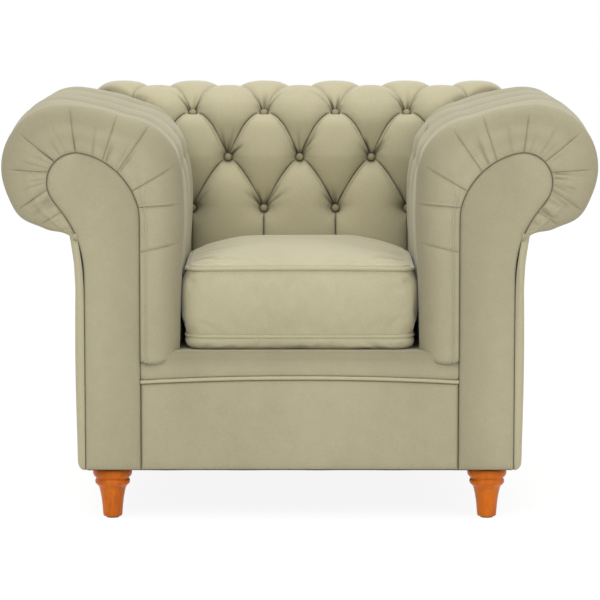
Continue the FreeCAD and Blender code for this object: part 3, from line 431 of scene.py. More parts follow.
def sweep(
    name: str, path: np.ndarray, radius: float, flats: int = 12, is_closed: bool = False
) -> bpy.types.Object:
    """A round cord along a path.

    Args:
        name: Its name.
        path: Points of its middle line.
        radius: Its radius.
        flats: Points round it.
        is_closed: Whether the path is a loop.

    Returns:
        The object.
    """
    path = np.asarray(path, float)
    heading = np.roll(path, -1, 0) - np.roll(path, 1, 0) if is_closed else np.gradient(path, axis=0)
    heading /= np.linalg.norm(heading, axis=1)[:, None]
    up = np.tile([0.0, 0.0, 1.0], (len(path), 1))
    flat = np.abs(heading[:, 2]) > 0.9
    up[flat] = [0.0, 1.0, 0.0]
    across = np.cross(heading, up)
    across /= np.linalg.norm(across, axis=1)[:, None]
    rise = np.cross(across, heading)
    turn = np.linspace(0.0, math.tau, flats, endpoint=False)
    ring = path[None] + radius * (
        np.cos(turn)[:, None, None] * across[None] + np.sin(turn)[:, None, None] * rise[None]
    )
    if is_closed:
        ring = np.concatenate([ring, ring[:, :1]], 1)
    return tidy(tube(name, ring, not is_closed))


# Finishes


class Graph:
    """A material's or a group's nodes, added by short calls."""

    def __init__(self, tree: bpy.types.NodeTree) -> None:
        """Starts from a tree."""
        self.tree = tree

    def add(self, kind: str, inputs: dict | None = None, **settings) -> bpy.types.Node:
        """Adds a node.

        Args:
            kind: Its type.
            inputs: Values or sockets for its inputs.
            **settings: Its properties.

        Returns:
            The node.
        """
        node = self.tree.nodes.new(kind)
        for key, value in settings.items():
            setattr(node, key, value)
        for key, value in (inputs or {}).items():
            if isinstance(value, bpy.types.NodeSocket):
                self.wire(value, node, key)
            else:
                node.inputs[key].default_value = value
        return node

    def wire(self, value: bpy.types.NodeSocket, node: bpy.types.Node, key: str | int) -> None:
        """Joins a socket to an input of a node."""
        self.tree.links.new(value, node.inputs[key])

    def noise(self, vector: bpy.types.NodeSocket, scale: float, detail: float = 2.0) -> bpy.types.NodeSocket:
        """The factor of a noise."""
        inputs = {"Vector": vector, "Scale": scale, "Detail": detail}
        return self.add("ShaderNodeTexNoise", inputs).outputs["Fac"]

    def sums(self, first, second, operation: str = "ADD") -> bpy.types.NodeSocket:
        """The sum of two values, or what another operation makes of them."""
        return self.add("ShaderNodeMath", {0: first, 1: second}, operation=operation).outputs[0]

    def times(self, first, second) -> bpy.types.NodeSocket:
        """The product of two values."""
        return self.sums(first, second, "MULTIPLY")

    def span(self, value, low: float, high: float, new_low: float, new_high: float) -> bpy.types.NodeSocket:
        """A value moved from one span to another."""
        inputs = {"Value": value, 1: low, 2: high, 3: new_low, 4: new_high}
        return self.add("ShaderNodeMapRange", inputs).outputs["Result"]

    def blend(self, factor, first, second, mode: str = "MIX") -> bpy.types.NodeSocket:
        """Two colours mixed."""
        node = self.add("ShaderNodeMix", data_type="RGBA", blend_type=mode)
        for key, value in ((0, factor), (6, first), (7, second)):
            if isinstance(value, bpy.types.NodeSocket):
                self.wire(value, node, key)
            else:
                node.inputs[key].default_value = value
        return node.outputs[2]


def emptied(made: bpy.types.Material | bpy.types.World) -> Graph:
    """The graph of a material or a world, without its first nodes."""
    made.use_nodes = True
    made.node_tree.nodes.clear()
    return Graph(made.node_tree)


def colour(red: int, green: int, blue: int) -> Rgba:
    """A colour as nodes take it, from its 8-bit values."""
    parts = [c / 255.0 for c in (red, green, blue)]
    linear = [p / 12.92 if p <= 0.04045 else ((p + 0.055) / 1.055) ** 2.4 for p in parts]
    return (*linear, 1.0)


def group(
    name: str, inputs: dict[str, tuple[str, object]], outputs: dict[str, str]
) -> tuple[bpy.types.NodeTree, Graph, bpy.types.Node, bpy.types.Node]:
    """An empty shader group.

    Args:
        name: Its name.
        inputs: Kind and value of each input.
        outputs: Kind of each output.

    Returns:
        The group, its graph and its end nodes.
    """
    tree = bpy.data.node_groups.new(name, "ShaderNodeTree")
    for key, (kind, value) in inputs.items():
        socket = tree.interface.new_socket(key, in_out="INPUT", socket_type=kind)
        socket.default_value = value
    for key, kind in outputs.items():
        tree.interface.new_socket(key, in_out="OUTPUT", socket_type=kind)
    graph = Graph(tree)
    return tree, graph, graph.add("NodeGroupInput"), graph.add("NodeGroupOutput")


def pile_group() -> bpy.types.NodeTree:
    """Velvet pile: broad shading where the pile leans, fine flecks, a soft surface, and painted shade where
    the fold attribute mixes the colour towards a dark brown.
    """
    tree, graph, source, result = group(
        "velvet_pile",
        {
            "Colour": ("NodeSocketColor", (0.5, 0.5, 0.4, 1.0)),
            "Lean": ("NodeSocketFloat", 0.12),
            "Fleck": ("NodeSocketFloat", 0.08),
            "Fold": ("NodeSocketColor", (0.075, 0.06, 0.03, 1.0)),
        },
        {"Colour": "NodeSocketColor", "Roughness": "NodeSocketFloat", "Height": "NodeSocketFloat"},
    )
    place = graph.add("ShaderNodeTexCoord").outputs["Object"]
    drawn = graph.add("ShaderNodeMapping", {"Vector": place, "Scale": (1.0, 1.0, 0.45)}).outputs[0]
    broad = graph.noise(drawn, 7.0, 3.0)
    cloudy = graph.noise(place, 38.0, 3.0)
    fine = graph.noise(place, 520.0, 2.0)
    tiny = graph.noise(place, 1500.0, 1.0)
    lean = graph.times(graph.span(broad, 0.3, 0.7, -1.0, 1.0), source.outputs["Lean"])
    cloud = graph.times(graph.span(cloudy, 0.3, 0.7, -0.35, 0.35), source.outputs["Lean"])
    fleck = graph.times(graph.span(fine, 0.3, 0.7, -1.0, 1.0), source.outputs["Fleck"])
    level = graph.sums(graph.sums(lean, cloud), graph.sums(fleck, 1.0))
    grey = graph.add("ShaderNodeCombineColor", {0: level, 1: level, 2: level}).outputs[0]
    tint = graph.blend(1.0, source.outputs["Colour"], grey, "MULTIPLY")
    # Painted shade: the fold attribute darkens the colour in folds, seams and corners.
    fold = graph.add("ShaderNodeAttribute", attribute_name="fold").outputs["Fac"]
    tint = graph.blend(fold, tint, source.outputs["Fold"])
    graph.wire(tint, result, "Colour")
    graph.wire(graph.span(cloudy, 0.3, 0.7, 0.78, 0.92), result, "Roughness")
    height = graph.sums(graph.times(fine, 0.6), graph.times(tiny, 0.4))
    graph.wire(height, result, "Height")
    return tree


def weave_group() -> bpy.types.NodeTree:
    """Plain weave of a lining, webbing or hessian, with its threads as height."""
    tree, graph, source, result = group(
        "plain_weave",
        {
            "Colour": ("NodeSocketColor", (0.5, 0.4, 0.3, 1.0)),
            "Threads": ("NodeSocketFloat", 600.0),
            "Contrast": ("NodeSocketFloat", 0.35),
        },
        {"Colour": "NodeSocketColor", "Height": "NodeSocketFloat"},
    )
    place = graph.add("ShaderNodeTexCoord").outputs["Object"]
    parts = graph.add("ShaderNodeSeparateXYZ", {0: place}).outputs
    waves = []
    for first, second in ((0, 1), (1, 2)):
        line = graph.times(graph.sums(parts[first], parts[second]), source.outputs["Threads"])
        waves.append(graph.sums(line, 0.0, "SINE"))
    pattern = graph.times(graph.times(waves[0], waves[1]), 0.5)
    height = graph.sums(pattern, 0.5)
    level = graph.sums(graph.times(pattern, source.outputs["Contrast"]), 1.0)
    slub = graph.span(graph.noise(place, 240.0, 3.0), 0.3, 0.7, 0.85, 1.12)
    level = graph.times(level, slub)
    grey = graph.add("ShaderNodeCombineColor", {0: level, 1: level, 2: level}).outputs[0]
    tint = graph.blend(1.0, source.outputs["Colour"], grey, "MULTIPLY")
    graph.wire(tint, result, "Colour")
    graph.wire(height, result, "Height")
    return tree


def grain_group() -> bpy.types.NodeTree:
    """Wood grain that runs along the height of a piece."""
    tree, graph, source, result = group(
        "wood_grain",
        {
            "Light": ("NodeSocketColor", (0.6, 0.3, 0.1, 1.0)),
            "Dark": ("NodeSocketColor", (0.3, 0.1, 0.03, 1.0)),
            "Stretch": ("NodeSocketVector", (1.0, 1.0, 0.12)),
        },
        {"Colour": "NodeSocketColor", "Roughness": "NodeSocketFloat", "Height": "NodeSocketFloat"},
    )
    place = graph.add("ShaderNodeTexCoord").outputs["Object"]
    inputs = {0: place, 1: source.outputs["Stretch"]}
    drawn = graph.add("ShaderNodeVectorMath", inputs, operation="MULTIPLY").outputs[0]
    broad = graph.noise(drawn, 26.0, 4.0)
    fine = graph.noise(drawn, 240.0, 4.0)
    pores = graph.span(graph.noise(drawn, 620.0, 2.0), 0.62, 0.7, 0.0, 1.0)
    mixed = graph.sums(graph.times(broad, 0.7), graph.times(fine, 0.3))
    factor = graph.span(mixed, 0.36, 0.64, 0.0, 1.0)
    shade = graph.blend(factor, source.outputs["Dark"], source.outputs["Light"])
    shade = graph.blend(graph.times(pores, 0.25), shade, source.outputs["Dark"])
    graph.wire(shade, result, "Colour")
    graph.wire(graph.span(fine, 0.3, 0.7, 0.3, 0.42), result, "Roughness")
    height = graph.sums(fine, graph.times(pores, 0.5), "SUBTRACT")
    graph.wire(height, result, "Height")
    return tree


PILE = pile_group()
WEAVE = weave_group()
GRAIN = grain_group()


@dataclass(frozen=True)
class Finish:
    """A material with a group for its surface and constants on the shader."""

    name: str
    tree: bpy.types.NodeTree
    group_inputs: tuple[tuple[str, object], ...]
    shader_inputs: tuple[tuple[str, object], ...]
    bump: float
    bump_depth: float

    def build(self) -> bpy.types.Material:
        """Builds the material."""
        made = bpy.data.materials.new(self.name)
        graph = emptied(made)
        surface = graph.add("ShaderNodeGroup", node_tree=self.tree)
        for key, value in self.group_inputs:
            surface.inputs[key].default_value = value
        shader = graph.add("ShaderNodeBsdfPrincipled")
        for key, value in self.shader_inputs:
            shader.inputs[key].default_value = value
        graph.wire(surface.outputs["Colour"], shader, "Base Color")
        if "Roughness" in surface.outputs:
            graph.wire(surface.outputs["Roughness"], shader, "Roughness")
        inputs = {"Strength": self.bump, "Distance": self.bump_depth, "Height": surface.outputs["Height"]}
        bump = graph.add("ShaderNodeBump", inputs)
        graph.wire(bump.outputs["Normal"], shader, "Normal")
        output = graph.add("ShaderNodeOutputMaterial")
        graph.wire(shader.outputs["BSDF"], output, "Surface")
        made.diffuse_color = next(v for k, v in self.group_inputs if k in ("Colour", "Light"))
        return made


VELVET_COLOUR = colour(179, 172, 142)
# A darker copy of the velvet's colour: painted shade for the arms, facings, front border and deck.
VELVET_SHADE = colour(168, 161, 133)
VELVET_SHADER = (
    ("Sheen Weight", 0.6), ("Sheen Roughness", 0.4), ("Sheen Tint", (1.0, 0.985, 0.93, 1.0)),
    ("Specular IOR Level", 0.2),
)
ARM_SHADER = (("Sheen Weight", 0.2), ("Sheen Roughness", 0.5), ("Specular IOR Level", 0.15))


class Finishes:
    """All the materials of the chair."""

    def __init__(self) -> None:
        """Builds each material once."""
        velvet = (("Colour", VELVET_COLOUR), ("Lean", 0.045), ("Fleck", 0.06))
        self.velvet = Finish("sage_velvet", PILE, velvet, VELVET_SHADER, 0.25, 0.0004).build()
        # The darker velvet: painted shade on the arms, facings, front border and deck.
        shade = (("Colour", VELVET_SHADE), ("Lean", 0.06), ("Fleck", 0.06))
        self.shade = Finish("sage_velvet_arm", PILE, shade, ARM_SHADER, 0.25, 0.0004).build()
        # The buttons' velvet is darker than the cover's: painted shade for their sunken pits.
        knob = (("Colour", colour(150, 142, 112)), ("Lean", 0.02), ("Fleck", 0.1))
        self.knob = Finish("sage_velvet_button", PILE, knob, ARM_SHADER, 0.3, 0.0004).build()
        piping = (("Colour", VELVET_COLOUR), ("Lean", 0.02), ("Fleck", 0.08))
        self.piping = Finish("sage_velvet_piping", PILE, piping, VELVET_SHADER, 0.3, 0.0004).build()
        foot = (("Light", colour(216, 112, 0)), ("Dark", colour(168, 72, 0)), ("Stretch", (1.0, 1.0, 0.14)))
        lacquer = (("Coat Weight", 0.22), ("Coat Roughness", 0.22), ("Specular IOR Level", 0.15))
        self.foot = Finish("stained_foot_wood", GRAIN, foot, lacquer, 0.12, 0.0004).build()
        tones = (("Light", colour(214, 184, 138)), ("Dark", colour(176, 138, 92)))
        timber = (*tones, ("Stretch", (0.12, 1.0, 1.0)))
        self.timber = Finish("frame_beech", GRAIN, timber, (), 0.2, 0.0005).build()
        jute = (("Colour", colour(183, 154, 107)), ("Threads", 2400.0), ("Contrast", 0.5))
        self.jute = Finish("jute_weave", WEAVE, jute, (("Roughness", 0.95),), 0.6, 0.0006).build()
        lining = (("Colour", colour(36, 36, 36)), ("Threads", 4200.0), ("Contrast", 0.5))
        self.lining = Finish("black_lining", WEAVE, lining, (("Roughness", 0.9),), 0.4, 0.0003).build()
        wadding = (("Colour", colour(228, 224, 214)), ("Lean", 0.05), ("Fleck", 0.2))
        self.wadding = Finish("fibre_wadding", PILE, wadding, (), 0.7, 0.001).build()
        steel = (("Colour", colour(154, 156, 158)), ("Lean", 0.1), ("Fleck", 0.12))
        metal = (("Metallic", 1.0),)
        self.steel = Finish("zinc_plate", PILE, steel, metal, 0.1, 0.0002).build()
        glide = (("Colour", colour(43, 43, 43)), ("Lean", 0.05), ("Fleck", 0.1))
        self.glide = Finish("glide_plastic", PILE, glide, (), 0.15, 0.0002).build()


FINISHES = Finishes()


def dress(
    piece: bpy.types.Object,
    material: bpy.types.Material,
    nodes: Sequence[str],
    body: Body = Body.CHAIR,
) -> bpy.types.Object:
    """Gives a finished piece its material and its place in the frame.

    Args:
        piece: The piece.
        material: Its material.
        nodes: CAD nodes that it stands for.
        body: The body that it rides on.

    Returns:
        The piece.
    """
    piece.data.materials.clear()
    piece.data.materials.append(material)
    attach(piece, body.value)
    if nodes:
        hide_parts(*nodes)
    LOG.info("%s: %d faces", piece.name, len(piece.data.polygons))
    return piece


# Buttoned upholstery

CELL_STEPS = np.array(
    [0.0, 0.014, 0.032, 0.056, 0.086, 0.122, 0.165, 0.215, 0.28, 0.36, 0.46, 0.6, 0.79, 1.0]
)


# Proportions of the pleats, pits and creases
PLEAT_SLANT = 0.85
PLEAT_BLEND = 22.0
LEAST_PLEAT = 1.2
PUFF_WIDTH = 2.4
PUFF_ROUNDNESS = 0.55
LIP_PLACE = 7.5
GROOVE_PLACE = 3.4
PULL_REACH = 25.0
PIT_RADIUS = 13.5
PIT_DEPTH = 6.0
BUTTON_SINK = 2.0
BUTTON_ROOM = 18.0
CREASES_ABOVE = 7
CREASES_BELOW = 2
# The most that the painted shade in folds may darken the colour.
DARKEST = 0.9

STUFFING = 44.0
RIM_RUN = 120.0
CORNER_SLANT = 0.7


@dataclass
class Crease:
    """A soft crease that runs from a button."""

    angle: float
    reach: float
    depth: float


@dataclass
class Tufting:
    """Staggered buttons on a section, with puffed cells and folded pleats between them."""

    shape: Shape
    rows: tuple[float, ...]
    pitch: float
    start: float
    button_depth: float
    pleat_depth: float
    crease_depth: float
    seed: int
    valley_shade: float = 0.15

    def even_share(self, length: np.ndarray) -> np.ndarray:
        """Share of the full width that the cells over even places have at a length."""
        share = np.zeros(len(length)) if self.rows[0] > 0 else np.ones(len(length))
        for k, (low, high) in enumerate(zip(self.rows[:-1], self.rows[1:])):
            rest = np.clip((high - length) / (high - low), 0.0, 1.0)
            bowed = rest ** (0.7 if high - low < 150.0 else 0.92)
            inside = (length >= low) & (length <= high)
            share = np.where(inside, 1.0 - bowed if k % 2 == 0 else bowed, share)
        return np.where(length > self.rows[-1], float((len(self.rows) - 1) % 2), share)

    def columns(self, first: float, last: float) -> tuple[np.ndarray, np.ndarray]:
        """Number of the cell and place across it, from -1 to 1, of each column.

        Args:
            first: Where the columns start along the arm or the back.
            last: Where they end.

        Returns:
            Cell numbers and places across.
        """
        half = self.pitch / 2
        lowest = math.floor((first - self.start) / half)
        highest = math.ceil((last - self.start) / half)
        numbers = range(lowest, highest + 1)
        across = np.concatenate([-1.0 + CELL_STEPS, (1.0 - CELL_STEPS[::-1])[1:]])
        cell = np.concatenate([np.full(len(across) - 1, k, float) for k in numbers])
        place = np.concatenate([across[:-1] for _ in numbers])
        return np.append(cell, cell[-1]), np.append(place, 1.0)

    def along(self, length: np.ndarray, cell: np.ndarray, across: np.ndarray) -> np.ndarray:
        """Where each column lies at each length."""
        share = self.share(length, cell)
        return self.start + cell[None] * self.pitch / 2 + across[None] * share * self.pitch / 2

    def share(self, length: np.ndarray, cell: np.ndarray) -> np.ndarray:
        """Share of the full width of each column's cell at each length."""
        even = self.even_share(length)[:, None]
        return np.where(np.abs(cell[None]) % 2 < 0.5, even, 1.0 - even)

    def buttons(self) -> list[tuple[float, float]]:
        """Length and place of every button of a long run."""
        found = []
        for row, length in enumerate(self.rows):
            for k in range(-1, 12):
                found.append((length, self.start + (k + 0.5 * (row % 2)) * self.pitch))
        return found

    def seats(self) -> Iterator[tuple[float, np.ndarray, np.ndarray]]:
        """Place along the run, point on the section and outward direction of each button."""
        for length, place in self.buttons():
            at = np.array([length])
            yield place, self.shape.inset(at, self.button_depth + BUTTON_SINK)[0], self.shape.normal(at)[0]

    def depth(self, length: np.ndarray, cell: np.ndarray, across: np.ndarray) -> np.ndarray:
        """Depth of the cover under the crown.

        Args:
            length: Length of each row of points.
            cell: Cell of each column.
            across: Place of each column across its cell.

        Returns:
            A depth for each row and column.
        """
        share = self.share(length, cell)
        along = self.along(length, cell, across)
        rise = length[:, None]
        off = np.min(np.abs(length[:, None] - np.array(self.rows)[None]), axis=1)[:, None]
        middle = self.button_depth * (1.0 - share) ** 2
        edge = self.pleat_depth + (self.button_depth - self.pleat_depth) * np.exp(-off / PLEAT_BLEND)
        edge = np.maximum(edge, middle + LEAST_PLEAT)
        puff = 1.0 - (1.0 - np.abs(across[None]) ** PUFF_WIDTH) ** PUFF_ROUNDNESS
        depth = middle + (edge - middle) * puff
        width = share * self.pitch / 2
        gap = (1.0 - np.abs(across[None])) * width * PLEAT_SLANT
        falling = np.gradient(share, length, axis=0) < 0.0
        fold = 2.2 * hill(gap, 1.7, LIP_PLACE) - 2.8 * hill(gap, 1.5, GROOVE_PLACE)
        depth = depth + np.where(falling & (share > 0.12), fold, 0.0)
        near = self.nearness(rise, along)
        depth = depth + (self.button_depth - depth) * 0.55 * hill(near, PULL_REACH)
        depth = depth + (self.button_depth + PIT_DEPTH - depth) * np.exp(-((near / PIT_RADIUS) ** 4))
        return depth + self.creases(rise, along)

    def nearness(self, rise: np.ndarray, along: np.ndarray) -> np.ndarray:
        """Distance of each point from the nearest button."""
        near = np.full(np.broadcast(rise, along).shape, 1e9)
        for row, button in self.buttons():
            near = np.minimum(near, (rise - row) ** 2 + (along - button) ** 2)
        return np.sqrt(near)

    def folds(self, length: np.ndarray, cell: np.ndarray, across: np.ndarray) -> np.ndarray:
        """Painted shade: how much each point's colour is darkened in a pleat, a crease or the pit of a
        button, and along the valleys over the roll, from 0 to 1.
        """
        share = self.share(length, cell)
        along = self.along(length, cell, across)
        rise = length[:, None]
        gap = (1.0 - np.abs(across[None])) * share * self.pitch / 2 * PLEAT_SLANT
        wide = smooth(rise, self.rows[-1] + 30.0, self.rows[-1] + 90.0)
        # Painted shade along the pleats, wider in the valleys over the roll.
        dark = 0.6 * hill(gap, 1.6) + 0.16 * np.exp(-gap / 6.0)
        dark = dark + wide * self.valley_shade * (np.exp(-gap / 12.0) + 0.7 * hill(gap, 5.0))
        near = self.nearness(rise, along)
        # A painted dark ring round each button's pit.
        ring = 0.62 * hill(near, 3.0, 8.0) + 0.24 * hill(near, 17.0)
        line = np.clip(self.creases(rise, along) / self.crease_depth, 0.0, 1.0)
        return np.clip(np.maximum(dark, ring) + 0.55 * line, 0.0, DARKEST)

    def creases(self, rise: np.ndarray, along: np.ndarray) -> np.ndarray:
        """Depth of the creases that gather above each button.

        Args:
            rise: Length of each point.
            along: Place of each point along the arm or the back.

        Returns:
            Extra depth of each point.
        """
        draws = np.random.default_rng(self.seed)
        extra = np.zeros(np.broadcast(rise, along).shape)
        for row, button in self.buttons():
            lines = [
                Crease(math.radians(draws.uniform(-58, 58)), draws.uniform(34, 78), draws.uniform(0.5, 1.0))
                for _ in range(CREASES_ABOVE)
            ]
            lines += [
                Crease(math.radians(draws.uniform(130, 230)), draws.uniform(16, 28), 0.35)
                for _ in range(CREASES_BELOW)
            ]
            up, over = rise - row, along - button
            reach = np.hypot(up, over)
            for crease in lines:
                forward = up * math.cos(crease.angle) + over * math.sin(crease.angle)
                beside = over * math.cos(crease.angle) - up * math.sin(crease.angle)
                spread = 1.3 + 0.045 * reach
                line = hill(beside, spread) * (forward > 0)
                ends = smooth(reach, 6.0, 12.0) * (1.0 - smooth(reach, crease.reach * 0.3, crease.reach))
                extra += self.crease_depth * crease.depth * line * ends
        return extra


def cell_rows(total: float, rows: Sequence[float], extra: Sequence[float] = ()) -> np.ndarray:
    """Lengths of the rows of points of a cover, closer near buttons and at extra lines.

    Args:
        total: The whole length.
        rows: Lengths of the buttons.
        extra: Lengths of sharp lines.

    Returns:
        The lengths.
    """
    found = list(np.linspace(0.0, total, int(total / 4.4) + 1))
    for row in rows:
        found += [row + step for step in (-7.5, -5.0, -2.5, 0.0, 2.5, 5.0, 7.5, 10.0, 12.5, 15.0)]
    for line in extra:
        found += [line + step for step in (-3.2, -1.6, -0.6, 0.0, 0.6, 1.6, 3.2)]
    found = np.array(sorted(v for v in found if 0.0 <= v <= total))
    keep = np.concatenate([[True], np.diff(found) > 0.45])
    keep[-1] = True
    return found[keep]


def corner_depth(gap: np.ndarray) -> np.ndarray:
    """How deep a cover is drawn in, by the distance from where an arm meets the back."""
    return 7.0 * np.exp(-gap / 5.0) + 4.0 * hill(gap, 18.0)


def corner_fold(gap: np.ndarray) -> np.ndarray:
    """Painted shade: how much the cover's colour is darkened by that distance from where an arm meets the
    back.
    """
    return 0.5 * hill(gap, 7.0)


def lining_inset(length: float, rim: float) -> tuple[np.ndarray, np.ndarray]:
    """Where the inner side of a pad lies under its crown.

    Args:
        length: Length of the crown.
        rim: Thickness of the pad at its rolled end.

    Returns:
        Lengths from the rolled end back to the foot, and the thickness at each.
    """
    steps = np.linspace(length, 0.0, 40)
    return steps, np.interp(steps, [0.0, length - RIM_RUN, length], [STUFFING, STUFFING, rim])


@dataclass
class Back:
    """The buttoned back with its roll, its buttons and its outside panel."""

    tufting: Tufting = field(default_factory=lambda: Tufting(
        BACK, rows=(231.0, 339.0, 458.0, 613.0), pitch=151.0, start=-4.5 * 151.0, button_depth=34.0,
        pleat_depth=19.0, crease_depth=4.8, seed=11, valley_shade=0.1,
    ))

    def cover(self) -> bpy.types.Object:
        """Builds the cover as one closed padded form."""
        tufting = self.tufting
        rows = cell_rows(BACK.length, tufting.rows)
        cell, across = tufting.columns(-700.0, 700.0)
        along = tufting.along(rows, cell, across)
        depth = tufting.depth(rows, cell, across)
        base = BACK.at(rows)
        edge = SEAT_HALF + (HALF_DEPTH - base[:, 0] - BACK_FOOT) * MITRE_WIDTH / MITRE_DEPTH
        gap = np.maximum(edge[:, None] - np.abs(along), 0.0) * CORNER_SLANT
        depth += corner_depth(gap)
        depth -= 4.0 * hill(rows, 70.0, BACK.nearest((121.0, 813.0)))[:, None]
        points = base[:, None] - BACK.normal(rows)[:, None] * depth[..., None]
        outer = np.stack([along, HALF_DEPTH - points[..., 0], points[..., 1]], -1)
        inner = BACK.inset(*lining_inset(BACK.length, 21.0))
        grid = np.concatenate([outer, grid_of(along[:1], HALF_DEPTH - inner[:, :1], inner[:, 1:])])
        piece = tube("inside_back_cover", grid)
        # Painted shade for the pile's colour: pleats, pits and the corners; none on the inner side.
        folds = np.zeros(grid.shape[:2])
        folds[:len(rows)] = np.maximum(tufting.folds(rows, cell, across), corner_fold(gap))
        mark(piece, folds)
        tidy(piece)
        for side in Side:
            foot = (side.value * (SEAT_HALF - 0.2), BACK_FOOT, 0.0)
            clip(piece, foot, (side.value * MITRE_DEPTH, -MITRE_WIDTH, 0.0))
        dress(piece, FINISHES.velvet, ["inside_back"])
        return piece

    def build(self) -> None:
        """Builds the whole back."""
        self.cover()
        outside_panel("outside_back_panel", "outside_back", None)
        seats = []
        for place, point, outward in self.tufting.seats():
            y = HALF_DEPTH - point[0]
            if y > mitre_y(place) + BUTTON_ROOM:
                seats.append(((place, y, point[1]), (0.0, -outward[0], outward[1])))
        dress(covered_buttons("back_buttons_covered", seats), FINISHES.knob, ["back_buttons"])


def covered_buttons(name: str, seats: Seats) -> bpy.types.Object:
    """Covered buttons, each turned to its own direction, made by geometry nodes.

    Args:
        name: Name of the piece.
        seats: Point and direction of each button.

    Returns:
        One mesh that holds them all.
    """
    profile = [
        (0.0, 5.8), (1.8, 5.7), (3.6, 5.3), (5.4, 4.4), (6.8, 3.1), (7.7, 1.5), (7.8, 0.0), (7.2, -1.4),
        (5.4, -2.0), (0.0, -2.0),
    ]
    template = lathe(name + "_template", profile, 24)
    ripple = np.array([v.co for v in template.data.vertices]) / MM
    turn = np.arctan2(ripple[:, 1], ripple[:, 0])
    swell = 1.0 + 0.02 * np.sin(9 * turn) * smooth(np.hypot(ripple[:, 0], ripple[:, 1]), 5.0, 8.0)
    template.data.vertices.foreach_set("co", (ripple * swell[:, None] * MM).astype(np.float32).ravel())
    return scatter(name, seats, template)


def lathe(name: str, profile: Points, flats: int, centre: Sequence[float] = (0.0, 0.0)) -> bpy.types.Object:
    """A turned form.

    Args:
        name: Its name.
        profile: Radius and height of each point, from its top to its foot.
        flats: Points round it.
        centre: Its place in the plan.

    Returns:
        The object.
    """
    radii, heights = np.array(profile, float).T
    turn = np.linspace(0.0, math.tau, flats, endpoint=False)
    grid = grid_of(
        centre[0] + np.outer(np.cos(turn), radii), centre[1] + np.outer(np.sin(turn), radii), heights
    )
    return tidy(tube(name, grid, False), 0.001)


def scatter(name: str, seats: Seats, template: bpy.types.Object) -> bpy.types.Object:
    """Copies a template to points with directions by geometry nodes, and returns a plain mesh.

    Args:
        name: Name of the piece.
        seats: Point and direction of each copy.
        template: The form to copy, which is removed.

    Returns:
        The mesh object.
    """
    cloud = mesh_from(name, np.array([p for p, _ in seats]), [])
    heading = cloud.data.attributes.new("heading", "FLOAT_VECTOR", "POINT")
    heading.data.foreach_set("vector", np.array([d for _, d in seats], np.float32).ravel())
    tree = bpy.data.node_groups.new(name + "_nodes", "GeometryNodeTree")
    tree.interface.new_socket("Geometry", in_out="INPUT", socket_type="NodeSocketGeometry")
    size = tree.interface.new_socket("Size", in_out="INPUT", socket_type="NodeSocketFloat")
    size.default_value = 1.0
    tree.interface.new_socket("Geometry", in_out="OUTPUT", socket_type="NodeSocketGeometry")
    graph = Graph(tree)
    source, result = graph.add("NodeGroupInput"), graph.add("NodeGroupOutput")
    shape = graph.add("GeometryNodeObjectInfo", {"Object": template}).outputs["Geometry"]
    named = graph.add("GeometryNodeInputNamedAttribute", {"Name": "heading"}, data_type="FLOAT_VECTOR")
    turned = graph.add("FunctionNodeAlignRotationToVector", {"Vector": named.outputs["Attribute"]}, axis="Z")
    copies = graph.add("GeometryNodeInstanceOnPoints", {
        "Points": source.outputs["Geometry"], "Instance": shape,
        "Rotation": turned.outputs["Rotation"], "Scale": source.outputs["Size"],
    })
    real = graph.add("GeometryNodeRealizeInstances", {"Geometry": copies.outputs["Instances"]})
    inputs = {"Geometry": real.outputs["Geometry"], "Material": FINISHES.piping}
    finish = graph.add("GeometryNodeSetMaterial", inputs)
    graph.wire(finish.outputs["Geometry"], result, "Geometry")
    modifier = cloud.modifiers.new("copies", "NODES")
    modifier.node_group = tree
    modifier[size.identifier] = 1.0
    applied(cloud)
    bpy.data.objects.remove(template)
    return cloud


